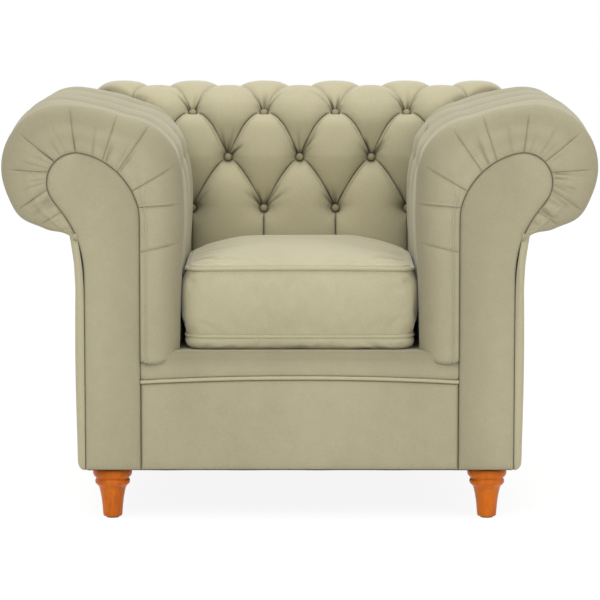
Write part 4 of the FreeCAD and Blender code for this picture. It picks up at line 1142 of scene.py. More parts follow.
def outside_panel(name: str, node: str, side: Side | None) -> bpy.types.Object:
    """A padded panel under the roll, from the base to the neck.

    Args:
        name: Name of the piece.
        node: CAD node that it stands for.
        side: Side of an arm panel, or None for the back.

    Returns:
        The piece.
    """
    shape = BACK if side is None else ARM
    end = shape.at(np.array([shape.length]))[0]
    top = end + np.array([6.0, 9.0])
    line = Section((PANEL_DEPTH + 0.5, BASE_HEIGHT + LOW_GAP), 8.0).line((PANEL_DEPTH, 450.0))
    face = line.line((138.5, 500.0)).line(tuple(top)).shaped()
    middle = np.linspace(22.0, face.length - 4.0, 60)
    heights = np.concatenate([[0.0, 1.5, 4.0, 8.0, 14.0], middle, [face.length]])
    reach = HALF_DEPTH - PANEL_DEPTH
    front, rear = (BOARD_FRONT - 4.0, 480.0) if side else (-520.0, 520.0)
    rim = front + np.array([0.0, 0.6, 1.8, 4.0, 8.0])
    along = np.concatenate([rim, np.linspace(front + 16.0, rear, 90)])
    base = face.at(heights)
    rounded = 9.0 * np.exp(-heights / 5.0)[:, None]
    if side:
        rounded = np.hypot(rounded, 8.5 * np.exp(-(along - front) / 3.2)[None])
    bulge = 3.0 * np.sin(np.pi * np.clip(heights / face.length, 0, 1))[:, None] * np.ones(len(along))[None]
    wave = 0.5 * np.sin(along[None] / 61.0 + heights[:, None] / 90.0)
    depth = rounded - bulge - wave * smooth(heights, 20.0, 120.0)[:, None]
    points = base[:, None] + face.normal(heights)[:, None] * depth[..., None]
    steps = np.linspace(face.length, 0.0, 14)
    inner = face.inset(steps, -15.0)
    grid_in = np.broadcast_to(inner[:, None], (len(steps), len(along), 2))
    depths = np.concatenate([points, grid_in])
    run = np.broadcast_to(along, depths.shape[:2])
    if side:
        grid = np.stack([HALF_WIDTH - depths[..., 0], run, depths[..., 1]], -1)
    else:
        grid = np.stack([run, HALF_DEPTH - depths[..., 0], depths[..., 1]], -1)
    piece = tidy(tube(name, grid))
    corner = HALF_WIDTH - PANEL_DEPTH
    if side:
        clip(piece, (corner, reach - 0.2, 0.0), (-1.0, 1.0, 0.0))
        flip_to(piece, side)
    else:
        for turn in Side:
            clip(piece, (turn.value * (corner - 0.2), reach, 0.0), (turn.value, -1.0, 0.0))
    dress(piece, FINISHES.velvet, [node])
    return piece


def flip_to(piece: bpy.types.Object, side: Side) -> bpy.types.Object:
    """Turns a right-hand piece into its side's."""
    if side is Side.LEFT:
        with editing(piece) as work:
            for vert in work.verts:
                vert.co.x = -vert.co.x
            bmesh.ops.reverse_faces(work, faces=work.faces)
    return piece


@dataclass
class Arm:
    """A scroll arm: its buttoned inner side and roll, front border, facing and outside panel."""

    side: Side
    edge: float = -431.0
    set_back: float = 26.0
    round_over: float = 32.0
    band: float = -450.0
    seam_y: float = -442.4
    button_room: float = 22.0
    pleat_count: int = 34
    tufting: Tufting = field(init=False)

    def __post_init__(self) -> None:
        """Sets out the buttons of this arm."""
        seed = 23 if self.side is Side.LEFT else 37
        first = BOARD_FRONT + 167.0 - 285.0
        self.tufting = Tufting(
            ARM, rows=(275.0, 388.0), pitch=190.0, start=first, button_depth=26.0,
            pleat_depth=17.0, crease_depth=2.6, seed=seed, valley_shade=0.42,
        )

    @staticmethod
    def pairs() -> np.ndarray:
        """Lengths on the crown and on the facing's outline that the border joins."""
        lines = [
            ((346.0, 330.0), (264.0, 330.0)), ((348.0, 539.0), (264.0, 520.0)),
            ((326.0, 610.0), (257.0, 606.0)), ((303.0, 680.0), (248.0, 636.0)),
            ((257.0, 713.0), (224.0, 676.0)), ((221.0, 776.0), (197.0, 699.0)),
            ((129.0, 769.0), (144.0, 713.0)), ((42.0, 744.0), (102.0, 695.0)),
            ((2.0, 679.0), (87.0, 676.0)), ((28.0, 600.0), (88.0, 640.0)),
            ((70.0, 572.0), (112.0, 595.0)), ((123.0, 545.0), (144.0, 541.0)),
        ]
        outline = scroll_shape(0.2, 12.0)
        found = [(ARM.nearest(outer), outline.nearest(inner)) for outer, inner in lines]
        found[0] = (0.0, found[0][1])
        found[-1] = (ARM.length, found[-1][1])
        return np.array(found)

    def edge_at(self, rows: np.ndarray) -> np.ndarray:
        """Where the inner side turns into the front border, further back beside the cushion."""
        return self.edge + self.set_back * (1.0 - smooth(rows, 320.0, 470.0))

    @staticmethod
    def fullness(rows: np.ndarray) -> np.ndarray:
        """How far the roll's underside swells, and draws up where it meets the outside panel."""
        end = ARM.length
        return 6.5 * hill(rows - end, 32.0, -95.0) - 11.0 * smooth(rows, end - 42.0, end)

    def border(self, rows: np.ndarray) -> tuple[np.ndarray, np.ndarray]:
        """The front border, from the front edge of the roll to the facing's seam.

        Args:
            rows: Lengths on the crown.

        Returns:
            Depth, place and height of each point, with a column for each step across, and its painted shade.
        """
        pairs = self.pairs()
        outline = scroll_shape(0.2, 12.0)
        inner = outline.at(np.interp(rows, pairs[:, 0], pairs[:, 1]))
        outer = ARM.inset(rows, -self.fullness(rows))
        start = self.edge_at(rows)
        low = (start - self.edge) / self.set_back
        width = np.hypot(*(inner - outer).T)
        heading = (inner - outer) / width[:, None]
        turn = np.linspace(0.0, math.pi / 2, 9)[1:]
        over = np.minimum(self.round_over + 44.0 * low, width * (0.45 + 0.36 * low))
        places, fronts = [], []
        for angle in turn:
            places.append(over * (1.0 - math.cos(angle)))
            fronts.append(start + (self.band - start) * math.sin(angle))
        fall = np.minimum(17.0 - 8.0 * low, width * 0.35)
        for share in np.linspace(0.0, 1.0, 15)[1:]:
            places.append(over + (width - over - fall) * share)
            fronts.append(np.full(len(rows), self.band - 3.6 * math.sin(math.pi * share) ** 2))
        for angle in turn:
            places.append(width - fall + fall * math.sin(angle))
            sunk = (self.seam_y - self.band) * (1.0 - math.cos(angle))
            fronts.append(self.band + sunk * np.ones(len(rows)))
        place = np.stack(places, 1)
        sink, dark = self.pleats(rows, place / width[:, None], pairs[1:-1, 0])
        front = np.stack(fronts, 1) + sink
        # Painted shade: a dark line at the facing's seam, and darker towards the outer edge, more so low
        # beside the cushion.
        dark = np.maximum(dark, 0.7 * hill(width[:, None] - place, 1.3))
        share = place / width[:, None]
        turned = 0.16 * low[:, None] * (1.0 - smooth(share, 0.0, 0.6))
        dark += 0.17 * (1.0 - smooth(share, 0.0, 0.85)) + turned
        flat = outer[:, None] + heading[:, None] * place[..., None]
        swing = 8.0 + 16.0 * np.sin(np.pi * np.clip(share * 0.72 + 0.05, 0, 1))
        drop = swing * np.exp(-rows / 22.0)[:, None]
        return np.stack([flat[..., 0], front, flat[..., 1] - drop], -1), dark

    def pleats(self, rows: np.ndarray, share: np.ndarray, lines: np.ndarray) -> tuple[np.ndarray, np.ndarray]:
        """How far the small pleats of the border sink.

        Args:
            rows: Lengths on the crown.
            share: How far across the border each point lies.
            lines: Lengths of the pleats.

        Returns:
            The sink of each point, and its painted shade along the pleats.
        """
        draws = np.random.default_rng(self.tufting.seed + 5)
        sink = np.zeros(share.shape)
        dark = np.zeros(share.shape)
        for line in lines:
            reach = draws.uniform(0.0, 0.2)
            slack = (rows - line)[:, None]
            fade = smooth(share, reach - 0.1, reach + 0.2) * smooth(1.03 - share, 0.0, 0.08)
            sink += (2.4 * np.exp(-np.abs(slack) / 1.8) + 2.0 * hill(slack, 15.0)) * fade
            sink -= 1.5 * hill(slack, 2.4, 5.0) * fade
            # Painted shade along each pleat.
            dark += 0.12 * hill(slack, 1.4) * fade
        for _ in range(self.pleat_count):
            line = draws.uniform(430.0, ARM.length - 8.0)
            if draws.uniform() < 0.45:
                line = draws.uniform(ARM.length - 190.0, ARM.length - 8.0)
            reach = draws.uniform(0.35, 0.8)
            slack = (rows - line)[:, None] + (share - 1.0) * draws.uniform(-14.0, 14.0)
            fade = smooth(share, reach - 0.2, reach + 0.15) * smooth(1.0 - share, 0.0, 0.08)
            fold = draws.uniform(0.5, 1.3) * hill(slack, draws.uniform(2.2, 4.5)) * fade
            sink += fold
            dark += 0.17 * fold
        return sink, np.clip(dark, 0.0, 0.8)

    def pad(self) -> bpy.types.Object:
        """Builds the inner side, the roll and the front border as one closed padded form."""
        tufting = self.tufting
        rows = cell_rows(ARM.length, tufting.rows, self.pairs()[1:-1, 0])
        cell, across = tufting.columns(self.edge, 470.0)
        along = tufting.along(rows, cell, across)
        depth = tufting.depth(rows, cell, across)
        start = self.edge_at(rows)[:, None] + 1.0
        along = np.where(along > start, along, start - 0.01 * (start - along) / 200.0)
        fade = smooth(along, start + 2.0, start + 55.0)
        depth *= fade
        base = ARM.at(rows)
        edge = mitre_y(HALF_WIDTH - base[:, 0])
        gap = np.maximum(edge[:, None] - along, 0.0) * CORNER_SLANT
        depth += corner_depth(gap)
        shoulder = hill(rows, 75.0, ARM.nearest((62.0, 788.0)))[:, None]
        room = edge[:, None] - along
        shoulder = shoulder * smooth(along, self.edge - 4.0, self.edge + 130.0)
        depth -= 11.0 * shoulder * smooth(room, 30.0, 190.0)
        depth -= self.fullness(rows)[:, None] * smooth(room, 60.0, 330.0)
        points = base[:, None] - ARM.normal(rows)[:, None] * depth[..., None]
        crown = np.stack([points[..., 0], along, points[..., 1]], -1)
        border, border_shade = self.border(rows)
        outer = np.concatenate([crown[:, ::-1], border], 1)
        # Painted shade: the pleats, pits and corners, and the whole top of the roll darkened by 0.13.
        folds = tufting.folds(rows, cell, across) * fade + 0.13 * smooth(rows, 380.0, 470.0)[:, None]
        folds = np.maximum(folds, corner_fold(gap))
        folds = np.concatenate([folds[:, ::-1], border_shade], 1)
        inner = ARM.inset(*lining_inset(ARM.length, 18.0))
        behind = self.edge + 28.0
        runs = np.maximum(outer[len(rows) // 2, :, 1], behind)
        runs[crown.shape[1]:] = np.linspace(behind, self.seam_y, border.shape[1])
        grid = np.concatenate([outer, grid_of(inner[:, :1], runs[None], inner[:, 1:])])
        grid[..., 0] = HALF_WIDTH - grid[..., 0]
        piece = tube(f"inside_arm_{self.side.word}_cover", grid)
        mark(piece, np.concatenate([folds, np.zeros((len(inner), folds.shape[1]))]))
        tidy(piece, 0.05)
        clip(piece, (SEAT_HALF, BACK_FOOT - 0.2, 0.0), (-MITRE_DEPTH, MITRE_WIDTH, 0.0))
        flip_to(piece, self.side)
        dress(piece, FINISHES.shade, [f"inside_arm_{self.side.word}"])
        return piece

    def facing(self) -> bpy.types.Object:
        """Builds the scroll-shaped padded facing."""
        outline = scroll_shape(0.2, 12.0, BASE_HEIGHT + LOW_GAP)
        head = outline.nearest((145.0, 712.0))
        share = np.concatenate([[0.0, 0.002, 0.006, 0.012, 0.02], np.linspace(0.03, 1.0, 150)])
        share = 1.0 - (1.0 - share) ** 1.15
        inner = outline.at(head * share)
        outer = outline.at(outline.length - (outline.length - head) * share)
        rim = np.array([0.0, 0.01, 0.03, 0.06, 0.1])
        across = np.concatenate([rim, np.linspace(0.16, 0.84, 16), [0.9, 0.94, 0.97, 0.99, 1.0]])
        flat = inner[:, None] + (outer - inner)[:, None] * across[None, :, None]
        away = flat[:, :, None] - outline.points[None, None]
        gap = np.min(np.hypot(away[..., 0], away[..., 1]), axis=-1)
        gap = np.minimum(gap, flat[..., 1] - BASE_HEIGHT)
        front = self.seam_y - 0.2 - 5.0 * (1.0 - np.exp(-gap / 3.4)) - 6.0 * (1.0 - np.exp(-gap / 30.0))
        face = np.stack([HALF_WIDTH - flat[..., 0], front, flat[..., 1]], -1)
        rear = face.copy()
        rear[..., 1] = BOARD_FRONT + 0.5
        # Painted shade: darker towards the inner side, and a dark line round the seam.
        turned = 0.17 * (1.0 - smooth(np.broadcast_to(across, gap.shape), 0.0, 0.8))
        shade = np.maximum(0.7 * hill(gap, 1.2), turned)
        piece = solid_sheet(f"arm_facing_{self.side.word}_panel", face, rear, shade)
        flip_to(piece, self.side)
        dress(piece, FINISHES.shade, [f"arm_facing_{self.side.word}"])
        return piece

    def build(self) -> None:
        """Builds the whole arm."""
        self.pad()
        self.facing()
        node = f"outside_arm_{self.side.word}"
        outside_panel(node + "_panel", node, self.side)
        seats = []
        for place, point, outward in self.tufting.seats():
            x = HALF_WIDTH - point[0]
            if BOARD_FRONT + self.button_room < place < mitre_y(x) - self.button_room:
                aim = (-self.side.value * outward[0], 0.0, outward[1])
                seats.append(((self.side.value * x, place, point[1]), aim))
        piece = covered_buttons(f"arm_buttons_{self.side.word}_covered", seats)
        dress(piece, FINISHES.knob, [f"arm_buttons_{self.side.word}"])


def solid_sheet(
    name: str, face: np.ndarray, rear: np.ndarray, folds: np.ndarray | float = 0.0
) -> bpy.types.Object:
    """A closed form between a front grid and a rear grid with the same rim.

    Args:
        name: Its name.
        face: Points of its front.
        rear: Points of its rear.
        folds: Painted shade of each point of the front, by which its colour is darkened.

    Returns:
        The object.
    """
    rows, columns = face.shape[:2]
    index = np.arange(rows * columns).reshape(rows, columns)
    quads = np.stack([index[:-1, :-1], index[:-1, 1:], index[1:, 1:], index[1:, :-1]], -1).reshape(-1, 4)
    faces = quads.tolist() + (quads[:, ::-1] + rows * columns).tolist()
    rim = np.concatenate([index[0], index[1:, -1], index[-1, -2::-1], index[-2:0:-1, 0]])
    following = np.roll(rim, -1)
    faces += np.stack([rim, rim + rows * columns, following + rows * columns, following], 1).tolist()
    points = np.concatenate([face.reshape(-1, 3), rear.reshape(-1, 3)])
    made = mark(mesh_from(name, points, faces), np.tile(np.broadcast_to(folds, (rows, columns)).ravel(), 2))
    return tidy(made, 0.02)


@dataclass
class Base:
    """The front panel with its piped seam, the deck with its lip, the lining and the feet."""

    half: float = 305.7
    seam_height: float = 278.6
    seam_arch: float = 8.3
    piping: float = 3.5
    panel_y: float = -437.5
    cord_y: float = -442.6
    lip_y: float = -439.6

    def seam(self, x: np.ndarray) -> np.ndarray:
        """Height of the piped seam by distance from the middle."""
        return self.seam_height - self.seam_arch * (np.asarray(x) / self.half) ** 2

    def across(self) -> np.ndarray:
        """Columns across the front, closer at its ends."""
        ends = np.array([0.0, 0.8, 2.2, 4.5, 8.0, 13.0, 20.0])
        middle = np.linspace(-self.half + 28.0, self.half - 28.0, 90)
        return np.concatenate([-self.half + ends, middle, (self.half - ends)[::-1]])

    def border(self) -> bpy.types.Object:
        """Builds the padded front panel under the seam."""
        x = self.across()
        rim = np.array([0.0, 0.004, 0.012, 0.026, 0.05, 0.09])
        share = np.concatenate([rim, np.linspace(0.14, 0.9, 40), [0.94, 0.965, 0.985, 0.996, 1.0]])
        top = self.seam(x) - self.piping + 0.6
        low = BASE_HEIGHT + 0.4
        z = low + (top - low)[None] * share[:, None]
        gap = np.minimum(np.minimum(z - low, top[None] - z), (self.half - np.abs(x))[None])
        ripple = 0.5 * np.sin(x / 37.0 + 1.0)[None] * smooth(z, 110.0, 250.0)
        ripple = ripple * (1.0 - smooth(z, 255.0, 275.0))
        y = self.panel_y - 5.4 * (1.0 - np.exp(-gap / 3.0)) - 3.0 * (1.0 - np.exp(-gap / 30.0)) - ripple
        face = grid_of(x, y, z)
        rear = face.copy()
        rear[..., 1] = -437.0
        # Painted shade: a dark line along the piped seam and at the panel's ends.
        seam_gap = np.minimum(top[None] - z, (self.half - np.abs(x))[None])
        piece = solid_sheet("front_border_panel", face, rear, 0.65 * hill(seam_gap, 1.2))
        dress(piece, FINISHES.shade, ["front_border"])
        return piece

    def cord(self) -> bpy.types.Object:
        """Builds the piping along the front seam."""
        x = np.linspace(-self.half, self.half, 160)
        line = np.stack([x, np.full(len(x), self.cord_y), self.seam(x)], 1)
        piece = sweep("front_border_piping_cord", line, self.piping)
        return dress(piece, FINISHES.piping, ["front_border_piping"])

    def deck(self) -> bpy.types.Object:
        """Builds the deck under the cushion, whose lip turns down to the seam."""
        x = self.across()
        bottom = self.seam(x) + self.piping - 0.6
        turn = np.linspace(0.0, math.pi / 2, 12)
        radius, top_rows = 17.0, 40
        rows = []
        height = DECK_HEIGHT - radius
        under = DECK_HEIGHT - 5.5
        for share in (0.0, 0.02, 0.06, 0.12, 0.22, 0.4, 0.6, 0.8):
            z = bottom + (height - bottom) * share
            swell = 2.6 * math.sin(math.pi * share) + 2.0 * (1.0 - math.exp(-share * 22.0))
            rows.append((np.full(len(x), self.lip_y - swell), z))
        for angle in turn:
            y = -441.6 + radius * (1.0 - math.cos(angle))
            rows.append((np.full(len(x), y), np.full(len(x), height + radius * math.sin(angle) - 0.2)))
        for y in np.linspace(-418.0, 126.0, top_rows):
            sag = 1.2 * np.cos(x / self.half * math.pi / 2) * math.sin(math.pi * (y + 420.0) / 548.0)
            rows.append((np.full(len(x), y), DECK_HEIGHT - 0.3 - np.maximum(sag, 0.0)))
        y = np.stack([r[0] for r in rows])
        z = np.stack([r[1] for r in rows])
        edge = np.exp(-(self.half - np.abs(x)) / 4.0)[None]
        face = grid_of(x, y + 3.0 * edge * (y < -430.0), z - 2.0 * edge * (y > -430.0))
        rear = face.copy()
        front_rows = len(rows) - top_rows
        rear[:front_rows, :, 1] = np.linspace(-436.0, -432.0, front_rows)[:, None]
        rear[:front_rows, :, 2] = np.minimum(rear[:front_rows, :, 2], under)
        rear[front_rows:, :, 2] = under
        # Painted shade: the upper part of the lip, under the cushion's overhang, darker.
        shade = 0.3 * smooth(face[..., 2], 285.0, 326.0) * (face[..., 1] < -430.0)
        piece = solid_sheet("deck_cover_cloth", face, rear, shade)
        dress(piece, FINISHES.shade, ["deck_cover"])
        return piece

    def feet(self) -> bpy.types.Object:
        """Builds the four turned feet."""
        profile = [
            (0.0, 97.6), (34.5, 97.6), (36.0, 96.6), (37.6, 93.6), (38.4, 89.8), (38.0, 85.6), (36.2, 81.8),
            (33.6, 79.3), (31.9, 78.0), (31.7, 76.9), (32.8, 75.8), (33.8, 73.8), (34.1, 71.2), (33.6, 68.4),
            (32.2, 66.0), (30.2, 64.4), (27.8, 62.4), (26.4, 59.6), (25.2, 55.6), (24.0, 50.4), (22.7, 44.0),
            (21.6, 37.0), (20.6, 29.0), (19.8, 20.0), (19.1, 11.0), (18.7, 6.0), (18.3, 4.2), (17.3, 2.8),
            (15.6, 2.2), (0.0, 2.2),
        ]
        made = join("turned_feet", [lathe("turned_foot", profile, 56, place) for place in FOOT_PLACES])
        bevel = made.modifiers.new("rounding", "SUBSURF")
        bevel.levels = bevel.render_levels = 1
        return dress(made, FINISHES.foot, ["feet"])

    def lining(self) -> bpy.types.Object:
        """Builds the lining under the base, drawn tight between the rails."""
        half, front, rear = 409.0, -436.6, 289.5
        grid_x, grid_y = np.meshgrid(np.linspace(-half, half, 84), np.linspace(front, rear, 74))
        room = np.minimum(np.minimum(half - np.abs(grid_x), grid_y - front), rear - grid_y)
        sag = 3.5 * smooth(room, 20.0, 200.0) + 0.35 * np.sin(grid_x / 23.0) * np.exp(-room / 40.0)
        low = BASE_HEIGHT - 1.6 - np.maximum(sag, 0.0)
        face = np.stack([grid_x, grid_y, low], -1)
        rear = face + np.array([0.0, 0.0, 1.1])
        work = solid_sheet("dust_cover_lining", face, rear)
        for foot in FOOT_PLACES:
            box_cut(work, (*foot, BASE_HEIGHT), (31.0, 31.0, 12.0))
        dress(work, FINISHES.lining, ["dust_cover"])
        return work

    def staples(self) -> bpy.types.Object:
        """Builds the staples along the edge of the lining by geometry nodes."""
        height, down = 98.1, (0.0, 0.0, -1.0)
        seats = []
        for x in np.linspace(-300.0, 300.0, 16):
            seats += [((x, y, height), down) for y in (-428.0, 280.0)]
        for y in np.linspace(-340.0, 180.0, 14):
            seats += [((side.value * 400.0, y, height), down) for side in Side]
        wire = [
            (-4.8, 0, -1.6), (-5, 0, -0.2), (-4.2, 0, 0.5), (0, 0, 0.6),
            (4.2, 0, 0.5), (5, 0, -0.2), (4.8, 0, -1.6),
        ]
        template = sweep("staple", np.array(wire, float), 0.45, 6)
        piece = scatter("lining_staples", seats, template)
        return dress(piece, FINISHES.steel, [])

    def build(self) -> None:
        """Builds the base."""
        self.border()
        self.cord()
        self.deck()
        self.feet()
        self.lining()
        self.staples()


def join(name: str, pieces: Sequence[bpy.types.Object]) -> bpy.types.Object:
    """One object from several, at the origin."""
    work = bmesh.new()
    for piece in pieces:
        work.from_mesh(piece.data)
        bpy.data.objects.remove(piece)
    mesh = bpy.data.meshes.new(name)
    work.to_mesh(mesh)
    work.free()
    mesh.polygons.foreach_set("use_smooth", [True] * len(mesh.polygons))
    return new_object(name, mesh)


def box_cut(piece: bpy.types.Object, centre: Sequence[float], half: Sequence[float]) -> None:
    """Cuts a block out of a piece.

    Args:
        piece: A closed mesh.
        centre: Centre of the block.
        half: Half its size each way.
    """
    corners = np.array([(x, y, z) for x in (-1, 1) for y in (-1, 1) for z in (-1, 1)], float)
    points = np.array(centre) + corners * np.array(half)
    sides = [(0, 1, 3, 2), (4, 6, 7, 5), (0, 4, 5, 1), (2, 3, 7, 6), (0, 2, 6, 4), (1, 5, 7, 3)]
    block = tidy(mesh_from("cut_block", points, sides, False))
    cut = piece.modifiers.new("cut", "BOOLEAN")
    cut.operation, cut.solver, cut.object = "DIFFERENCE", "EXACT", block
    applied(piece, False)
    bpy.data.objects.remove(block)


def coordinates(piece: bpy.types.Object) -> np.ndarray:
    """Points of a piece in millimetres."""
    flat = np.empty(len(piece.data.vertices) * 3, np.float32)
    piece.data.vertices.foreach_get("co", flat)
    return flat.reshape(-1, 3).astype(float) / MM


def applied(piece: bpy.types.Object, is_smooth: bool = True) -> bpy.types.Object:
    """A piece whose modifiers have become its mesh.

    Args:
        piece: The piece.
        is_smooth: Whether all its faces are then shaded smooth.

    Returns:
        The piece.
    """
    view = bpy.context.evaluated_depsgraph_get()
    view.update()
    mesh = bpy.data.meshes.new_from_object(piece.evaluated_get(view))
    piece.modifiers.clear()
    piece.data = mesh
    if is_smooth:
        mesh.polygons.foreach_set("use_smooth", [True] * len(mesh.polygons))
    return piece


def inflate(piece: bpy.types.Object, near_seam: Callable[[np.ndarray], np.ndarray]) -> None:
    """Fills a cover by a short cloth simulation, so that it puckers along its seams.

    Args:
        piece: The closed cover.
        near_seam: Gives the distance of points from the seams.
    """
    voxel, cap, frames = 6.0, 7.0, 20
    even = piece.modifiers.new("even", "REMESH")
    even.mode = "VOXEL"
    even.voxel_size = voxel * MM
    applied(piece)
    start = coordinates(piece)
    weights = 1.0 - smooth(near_seam(start), 4.0, 16.0)
    seams = piece.vertex_groups.new(name="seams")
    for index in np.flatnonzero(weights > 0.02):
        seams.add([int(index)], float(weights[index]), "REPLACE")
    cloth = piece.modifiers.new("fill", "CLOTH")
    settings = cloth.settings
    settings.quality = 4
    settings.mass = 0.3
    settings.tension_stiffness = settings.compression_stiffness = 25.0
    settings.shear_stiffness = 12.0
    settings.bending_stiffness = 2.0
    settings.vertex_group_mass = "seams"
    settings.use_pressure = True
    settings.uniform_pressure_force = 2.5
    settings.shrink_min = -0.02
    settings.effector_weights.gravity = 0.0
    cloth.collision_settings.use_collision = False
    scene = bpy.context.scene
    for number in range(1, frames + 1):
        scene.frame_set(number)
    applied(piece)
    scene.frame_set(1)
    moved = coordinates(piece) - start
    length = np.linalg.norm(moved, axis=1)
    moved *= (cap * np.tanh(length / cap) / np.maximum(length, NEAR_ZERO))[:, None]
    moved[:, 2] = np.where(start[:, 2] < 345.0, np.maximum(moved[:, 2], 330.2 - start[:, 2]), moved[:, 2])
    piece.data.vertices.foreach_set("co", ((start + moved) * MM).astype(np.float32).ravel())
    finer = piece.modifiers.new("finer", "SUBSURF")
    finer.levels = finer.render_levels = 1
    applied(piece)


@dataclass
class Cushion:
    """The loose box cushion with its crown and its two piped seams."""

    half_x: float = 226.0
    front: float = -427.0
    rear: float = 126.5
    bottom: float = 330.3
    seam_low: float = 356.0
    seam_high: float = 485.6
    top: float = 512.5
    corner: float = 40.0
    rear_corner: float = 84.0
    seam_inset: float = 10.0

    def outline(self, inset: float, count: int = 64) -> np.ndarray:
        """A ring of points round the cushion, drawn in by an amount.

        Args:
            inset: How far it is drawn in.
            count: Points along each side.

        Returns:
            Plan points of the ring.
        """
        half_x, half_y = self.half_x - inset, (self.rear - self.front) / 2 - inset
        points = []
        for x, y, first in ((1, 1, 0.0), (-1, 1, 90.0), (-1, -1, 180.0), (1, -1, 270.0)):
            radius = max((self.corner if y < 0 else self.rear_corner) - inset * 0.2, 14.0)
            turn = np.radians(first + np.linspace(0.0, 90.0, 13))
            centre = (x * (half_x - radius), y * (half_y - radius))
            points += [(centre[0] + radius * math.cos(t), centre[1] + radius * math.sin(t)) for t in turn]
        corners = np.array(points + points[:1])
        steps = np.concatenate([[0.0], np.cumsum(np.hypot(*np.diff(corners, axis=0).T))])
        even = np.linspace(0.0, steps[-1], count * 4, endpoint=False)
        ring = np.stack([np.interp(even, steps, corners[:, k]) for k in (0, 1)], 1)
        ring[:, 1] += (self.front + self.rear) / 2
        return ring

    def form(self) -> bpy.types.Object:
        """Builds the cushion as one closed form."""
        grid = []
        centre = np.array([0.0, (self.front + self.rear) / 2])
        crown = np.concatenate([np.linspace(0.996, 0.1, 26), [0.075, 0.05, 0.03]])

        def ring(inset: float, height: float, shrink: float = 0.0) -> None:
            plan = centre + (self.outline(inset) - centre) * (1.0 - shrink)
            grid.append(np.column_stack([plan, np.full(len(plan), height)]))

        under = ((9.0, 25.0), (2.5, 23.6), (-3.0, 20.0), (-5.5, 14.5), (-5.5, 8.5), (-3.6, 4.5), (-0.4, 1.4))
        for share in crown:
            ring(self.seam_inset + 9.0, self.seam_low - 25.0 - 0.7 * min(share / 0.3, 1.0), share)
        for inset, drop in under:
            ring(self.seam_inset + inset, self.seam_low - drop)
        ring(self.seam_inset + 1.5, self.seam_low)
        for share in np.linspace(-1.0, 1.0, 25)[1:-1]:
            swell = (1.0 - abs(share) ** 2.6) ** 0.8
            height = (self.seam_low + self.seam_high) / 2 + share * (self.seam_high - self.seam_low) / 2
            ring(self.seam_inset * (1.0 - swell), height)
        ring(self.seam_inset + 1.5, self.seam_high)
        over = ((-0.2, 1.2), (-1.0, 3.2), (-0.2, 5.4), (2.2, 7.4))
        for inset, rise in over:
            ring(self.seam_inset + inset, self.seam_high + rise)
        rest = self.top - self.seam_high - 7.4
        for share in crown[::-1]:
            full = 1.0 - (1.0 - min(share / 0.9, 1.0)) ** 1.8
            ring(self.seam_inset + 2.2, self.seam_high + 7.4 + rest * full, share)
        grid = self.relax(np.array(grid))
        return tidy(tube("seat_cushion_cover", grid.transpose(1, 0, 2)))

    def relax(self, grid: np.ndarray) -> np.ndarray:
        """Bellies the sides, droops the seams between their corners and puckers along the piping.

        Args:
            grid: Rings of points, from the bottom to the top.

        Returns:
            The changed rings.
        """
        draws = np.random.default_rng(5)
        x, y, z = grid[..., 0], grid[..., 1], grid[..., 2]
        middle = (self.seam_low + self.seam_high) / 2
        belly = hill(z, 48.0, middle)
        front = smooth(-y, 380.0, 420.0)
        arch = np.cos(np.clip(x / self.half_x, -1, 1) * math.pi / 2)
        y = y - 4.0 * belly * front * arch
        above = smooth(z, self.seam_high - 30.0, self.seam_high + 2.0)
        z = z + 1.6 * above * front * arch
        near = np.minimum(np.abs(z - self.seam_high), np.abs(z - self.seam_low))
        turn = np.arctan2(y + 150.0, x)
        pucker = np.zeros(z.shape)
        for _ in range(10):
            pucker += draws.uniform(0.2, 0.5) * np.sin(turn * draws.integers(24, 64) + draws.uniform(0, 6.3))
        z = z + pucker * 0.35 * hill(near, 8.0, 9.0)
        z = z - above * self.droop(x, y)
        wave = 0.9 * np.sin(x / 71.0 + 0.7) * np.sin(y / 88.0 + 0.4)
        wave = wave * smooth(z, self.seam_high + 8.0, self.top - 3.0)
        return np.stack([x, y, np.where(z < self.bottom + 0.5, z, z + wave)], -1)

    @staticmethod
    def droop(x: np.ndarray, y: np.ndarray) -> np.ndarray:
        """How far the top falls towards its sides and its rear corners."""
        fall = 3.0 + 11.0 * smooth(y, -120.0, 120.0)
        return fall * smooth(np.abs(x), 95.0, 215.0) * smooth(y, -427.0, -330.0)

    def near_seam(self, points: np.ndarray) -> np.ndarray:
        """Distance of each point from the nearest seam."""
        ring = self.outline(self.seam_inset, 40)
        away = points[:, None, :2] - ring[None]
        flat = np.min(np.hypot(away[..., 0], away[..., 1]), axis=1)
        top = self.seam_high - self.droop(points[:, 0], points[:, 1])
        rise = np.minimum(np.abs(points[:, 2] - top), np.abs(points[:, 2] - self.seam_low))
        return np.hypot(flat * 0.6, rise)

    def cord(self, word: str, height: float) -> bpy.types.Object:
        """Builds the piping of one seam.

        Args:
            word: Which seam it is.
            height: Its height.

        Returns:
            The piece.
        """
        ring = self.outline(self.seam_inset - 2.6, 90)
        path = np.column_stack([ring, np.full(len(ring), height)])
        front = smooth(-path[:, 1], 380.0, 420.0)
        arch = np.cos(np.clip(path[:, 0] / self.half_x, -1, 1) * math.pi / 2)
        path[:, 2] += (1.4 if word == "top" else -0.4) * front * arch
        if word == "top":
            path[:, 2] -= self.droop(path[:, 0], path[:, 1])
        piece = sweep(f"cushion_piping_{word}_cord", path, 3.6, 12, True)
        return dress(piece, FINISHES.piping, [f"cushion_piping_{word}"], Body.CUSHION)

    def build(self) -> None:
        """Builds the cushion and its piping."""
        piece = self.form()
        inflate(piece, self.near_seam)
        # Painted shade: a dark line along the seams.
        mark(piece, 0.5 * hill(self.near_seam(coordinates(piece)), 3.0))
        dress(piece, FINISHES.velvet, ["seat_cushion"], Body.CUSHION)
        self.cord("top", self.seam_high)
        self.cord("bottom", self.seam_low)


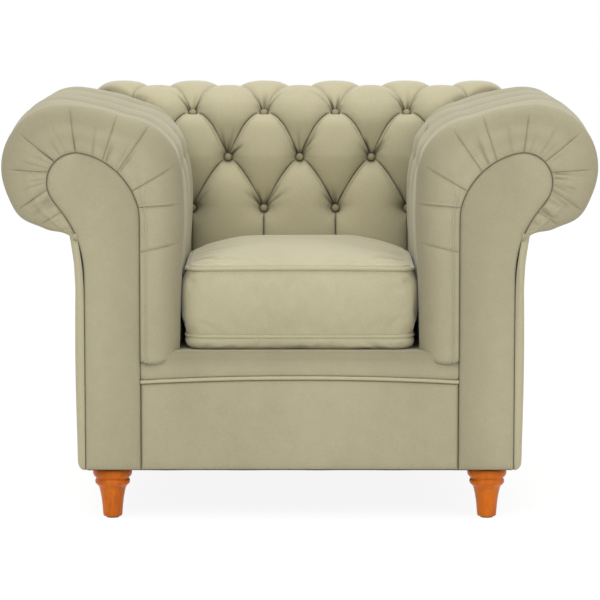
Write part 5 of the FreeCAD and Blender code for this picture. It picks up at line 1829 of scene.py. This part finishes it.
class Inside:
    """What the covers hide: webbing, hessian, the platform pad, timber, springs and fittings."""

    def straps(self, node: str) -> bpy.types.Object:
        """Builds webbing straps in the place of their solids, with softened edges and a weave."""
        copy = tidy(new_object(node + "_straps", frame["nodes"][node].data.copy()), 0.02)
        soften(copy, 0.4, 2)
        return dress(copy, FINISHES.jute, [node])

    @staticmethod
    def plan(node: str) -> tuple[np.ndarray, np.ndarray, np.ndarray, np.ndarray]:
        """An even grid over the plan of a node.

        Args:
            node: The CAD node.

        Returns:
            Low and high corner of its box, and the two parts of the grid.
        """
        low, high = (np.array(corner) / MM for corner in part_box(node))
        sides = [np.linspace(low[k], high[k], 60) for k in (0, 1)]
        return low, high, *np.meshgrid(*sides)

    def hessian(self) -> bpy.types.Object:
        """Builds the hessian over the springs, which sags a little between them."""
        low, high, grid_x, grid_y = self.plan("seat_hessian")
        wave = 0.25 * np.cos(grid_x / 22.3) * np.sin(np.pi * (grid_y - low[1]) / (high[1] - low[1]))
        face = grid_of(grid_x, grid_y, low[2] + 0.3 + wave)
        rear = face.copy()
        rear[..., 2] += high[2] - low[2] - 0.6
        piece = solid_sheet("seat_hessian_cloth", face, rear)
        dress(piece, FINISHES.jute, ["seat_hessian"])
        return piece

    def platform(self) -> bpy.types.Object:
        """Builds the platform pad, softly crowned, in the place of its solid."""
        low, high, grid_x, grid_y = self.plan("platform_pad")
        beside = np.minimum(grid_x - low[0], high[0] - grid_x)
        room = np.minimum(beside, np.minimum(grid_y - low[1], high[1] - grid_y))
        face = grid_of(grid_x, grid_y, high[2] - 2.5 - 9.0 * np.exp(-room / 7.0))
        rear = grid_of(grid_x, grid_y, low[2])
        piece = solid_sheet("platform_pad_form", face, rear)
        dress(piece, FINISHES.wadding, ["platform_pad"])
        return piece

    def build(self) -> None:
        """Builds the hidden soft pieces and finishes the hard nodes."""
        for node in ("arm_webbing_left", "arm_webbing_right", "back_webbing"):
            self.straps(node)
        self.hessian()
        self.platform()
        kinds = {
            "frame_timber": FINISHES.timber, "plated_steel": FINISHES.steel, "glide_plastic": FINISHES.glide,
        }
        for entry in frame["record"]["subparts"]:
            if entry["material_slot"] in kinds:
                node = frame["nodes"][entry["node"]]
                node.data.materials.clear()
                node.data.materials.append(kinds[entry["material_slot"]])


def soften(piece: bpy.types.Object, width: float, segments: int) -> None:
    """Rounds the edges of a piece with a bevel.

    Args:
        piece: The piece.
        width: Width of the bevel in millimetres.
        segments: Its steps.
    """
    with editing(piece) as work:
        sharp = [e for e in work.edges if len(e.link_faces) == 2 and e.calc_face_angle() > 0.6]
        bmesh.ops.bevel(work, geom=sharp, offset=width * MM, segments=segments, affect="EDGES", profile=0.5)


# Room, lights and camera


def seen_rays(graph: Graph) -> bpy.types.NodeSocket:
    """1 for the rays by which the camera or a reflection sees a surface, and 0 for the rest."""
    path = graph.add("ShaderNodeLightPath")
    seen = graph.sums(path.outputs["Is Camera Ray"], path.outputs["Is Glossy Ray"], "MAXIMUM")
    return graph.sums(seen, path.outputs["Is Transmission Ray"], "MAXIMUM")


def ray_material(name: str, shade: Rgba, seen: float) -> bpy.types.Material:
    """A pale surface that looks white where the camera or a reflection sees it.

    Args:
        name: Its name.
        shade: Its colour in the light.
        seen: Strength of the white that is seen.

    Returns:
        The material.
    """
    made = bpy.data.materials.new(name)
    graph = emptied(made)
    bright = seen_rays(graph)
    plain = graph.add("ShaderNodeBsdfDiffuse", {"Color": shade})
    glow = graph.add("ShaderNodeEmission", {"Color": (1.0, 1.0, 1.0, 1.0), "Strength": seen})
    factor = graph.times(bright, 0.8)
    mixed = graph.add("ShaderNodeMixShader", {0: factor, 1: plain.outputs[0], 2: glow.outputs[0]})
    output = graph.add("ShaderNodeOutputMaterial")
    graph.wire(mixed.outputs[0], output, "Surface")
    return made


@dataclass(frozen=True)
class Lamp:
    """A soft area lamp."""

    name: str
    place: tuple[float, float, float]
    aim: tuple[float, float, float]
    size: tuple[float, float]
    power: float

    def build(self) -> None:
        """Puts the lamp in the scene."""
        data = bpy.data.lights.new(self.name, "AREA")
        data.shape = "RECTANGLE"
        data.size, data.size_y = self.size
        data.energy = self.power
        lamp = new_object(self.name, data)
        lamp.location = self.place
        lamp.rotation_mode = "QUATERNION"
        lamp.rotation_quaternion = (Vector(self.aim) - Vector(self.place)).to_track_quat("-Z", "Y")


class Studio:
    """The floor, the soft light and the camera."""

    lamps = (
        Lamp("key_lamp", (-1.6, -3.4, 3.4), (0.0, 0.0, 0.45), (2.6, 2.0), 57.0),
        Lamp("fill_lamp", (2.6, -3.0, 2.2), (0.0, 0.0, 0.45), (2.4, 2.0), 30.0),
        Lamp("top_lamp", (0.0, -0.2, 3.6), (0.0, 0.0, 0.5), (3.0, 2.4), 52.0),
    )
    lens = 189.6
    place = (0.0006, -6.45, 1.105)
    tilt = 6.42
    world_level = 0.62

    def floor(self) -> None:
        """Lays the pale floor."""
        size, height = 9000.0, -0.4
        corners = [(x * size, y * size, height) for x, y in ((-1, -1), (1, -1), (1, 1), (-1, 1))]
        floor = mesh_from("studio_floor", np.array(corners), [(0, 1, 2, 3)], False)
        floor.data.materials.append(ray_material("studio_floor_white", (0.88, 0.88, 0.87, 1.0), 1.12))

    def world(self) -> None:
        """Lights the room evenly and shows white behind the chair."""
        made = bpy.data.worlds.new("studio_white")
        bpy.context.scene.world = made
        graph = emptied(made)
        level = graph.span(seen_rays(graph), 0.0, 1.0, self.world_level, 1.0)
        back = graph.add("ShaderNodeBackground", {"Color": (1.0, 1.0, 1.0, 1.0), "Strength": level})
        output = graph.add("ShaderNodeOutputWorld")
        graph.wire(back.outputs[0], output, "Surface")

    def camera(self) -> None:
        """Sets up the camera of the photograph's view."""
        data = bpy.data.cameras.new("photo_camera")
        data.sensor_width = 36.0
        data.lens = self.lens
        camera = new_object("photo_camera", data)
        camera.location = self.place
        camera.rotation_euler = (math.radians(90.0 - self.tilt), 0.0, 0.0)
        bpy.context.scene.camera = camera

    def build(self) -> None:
        """Builds the studio."""
        self.camera()
        self.floor()
        self.world()
        for lamp in self.lamps:
            lamp.build()
        bpy.context.scene.view_settings.view_transform = "Standard"


def main() -> None:
    """Builds the studio and every piece."""
    logging.basicConfig(level=logging.INFO, format="%(name)s %(message)s")
    Studio().build()
    Back().build()
    for side in Side:
        Arm(side).build()
    Base().build()
    Cushion().build()
    Inside().build()


if __name__ == "__main__":
    main()
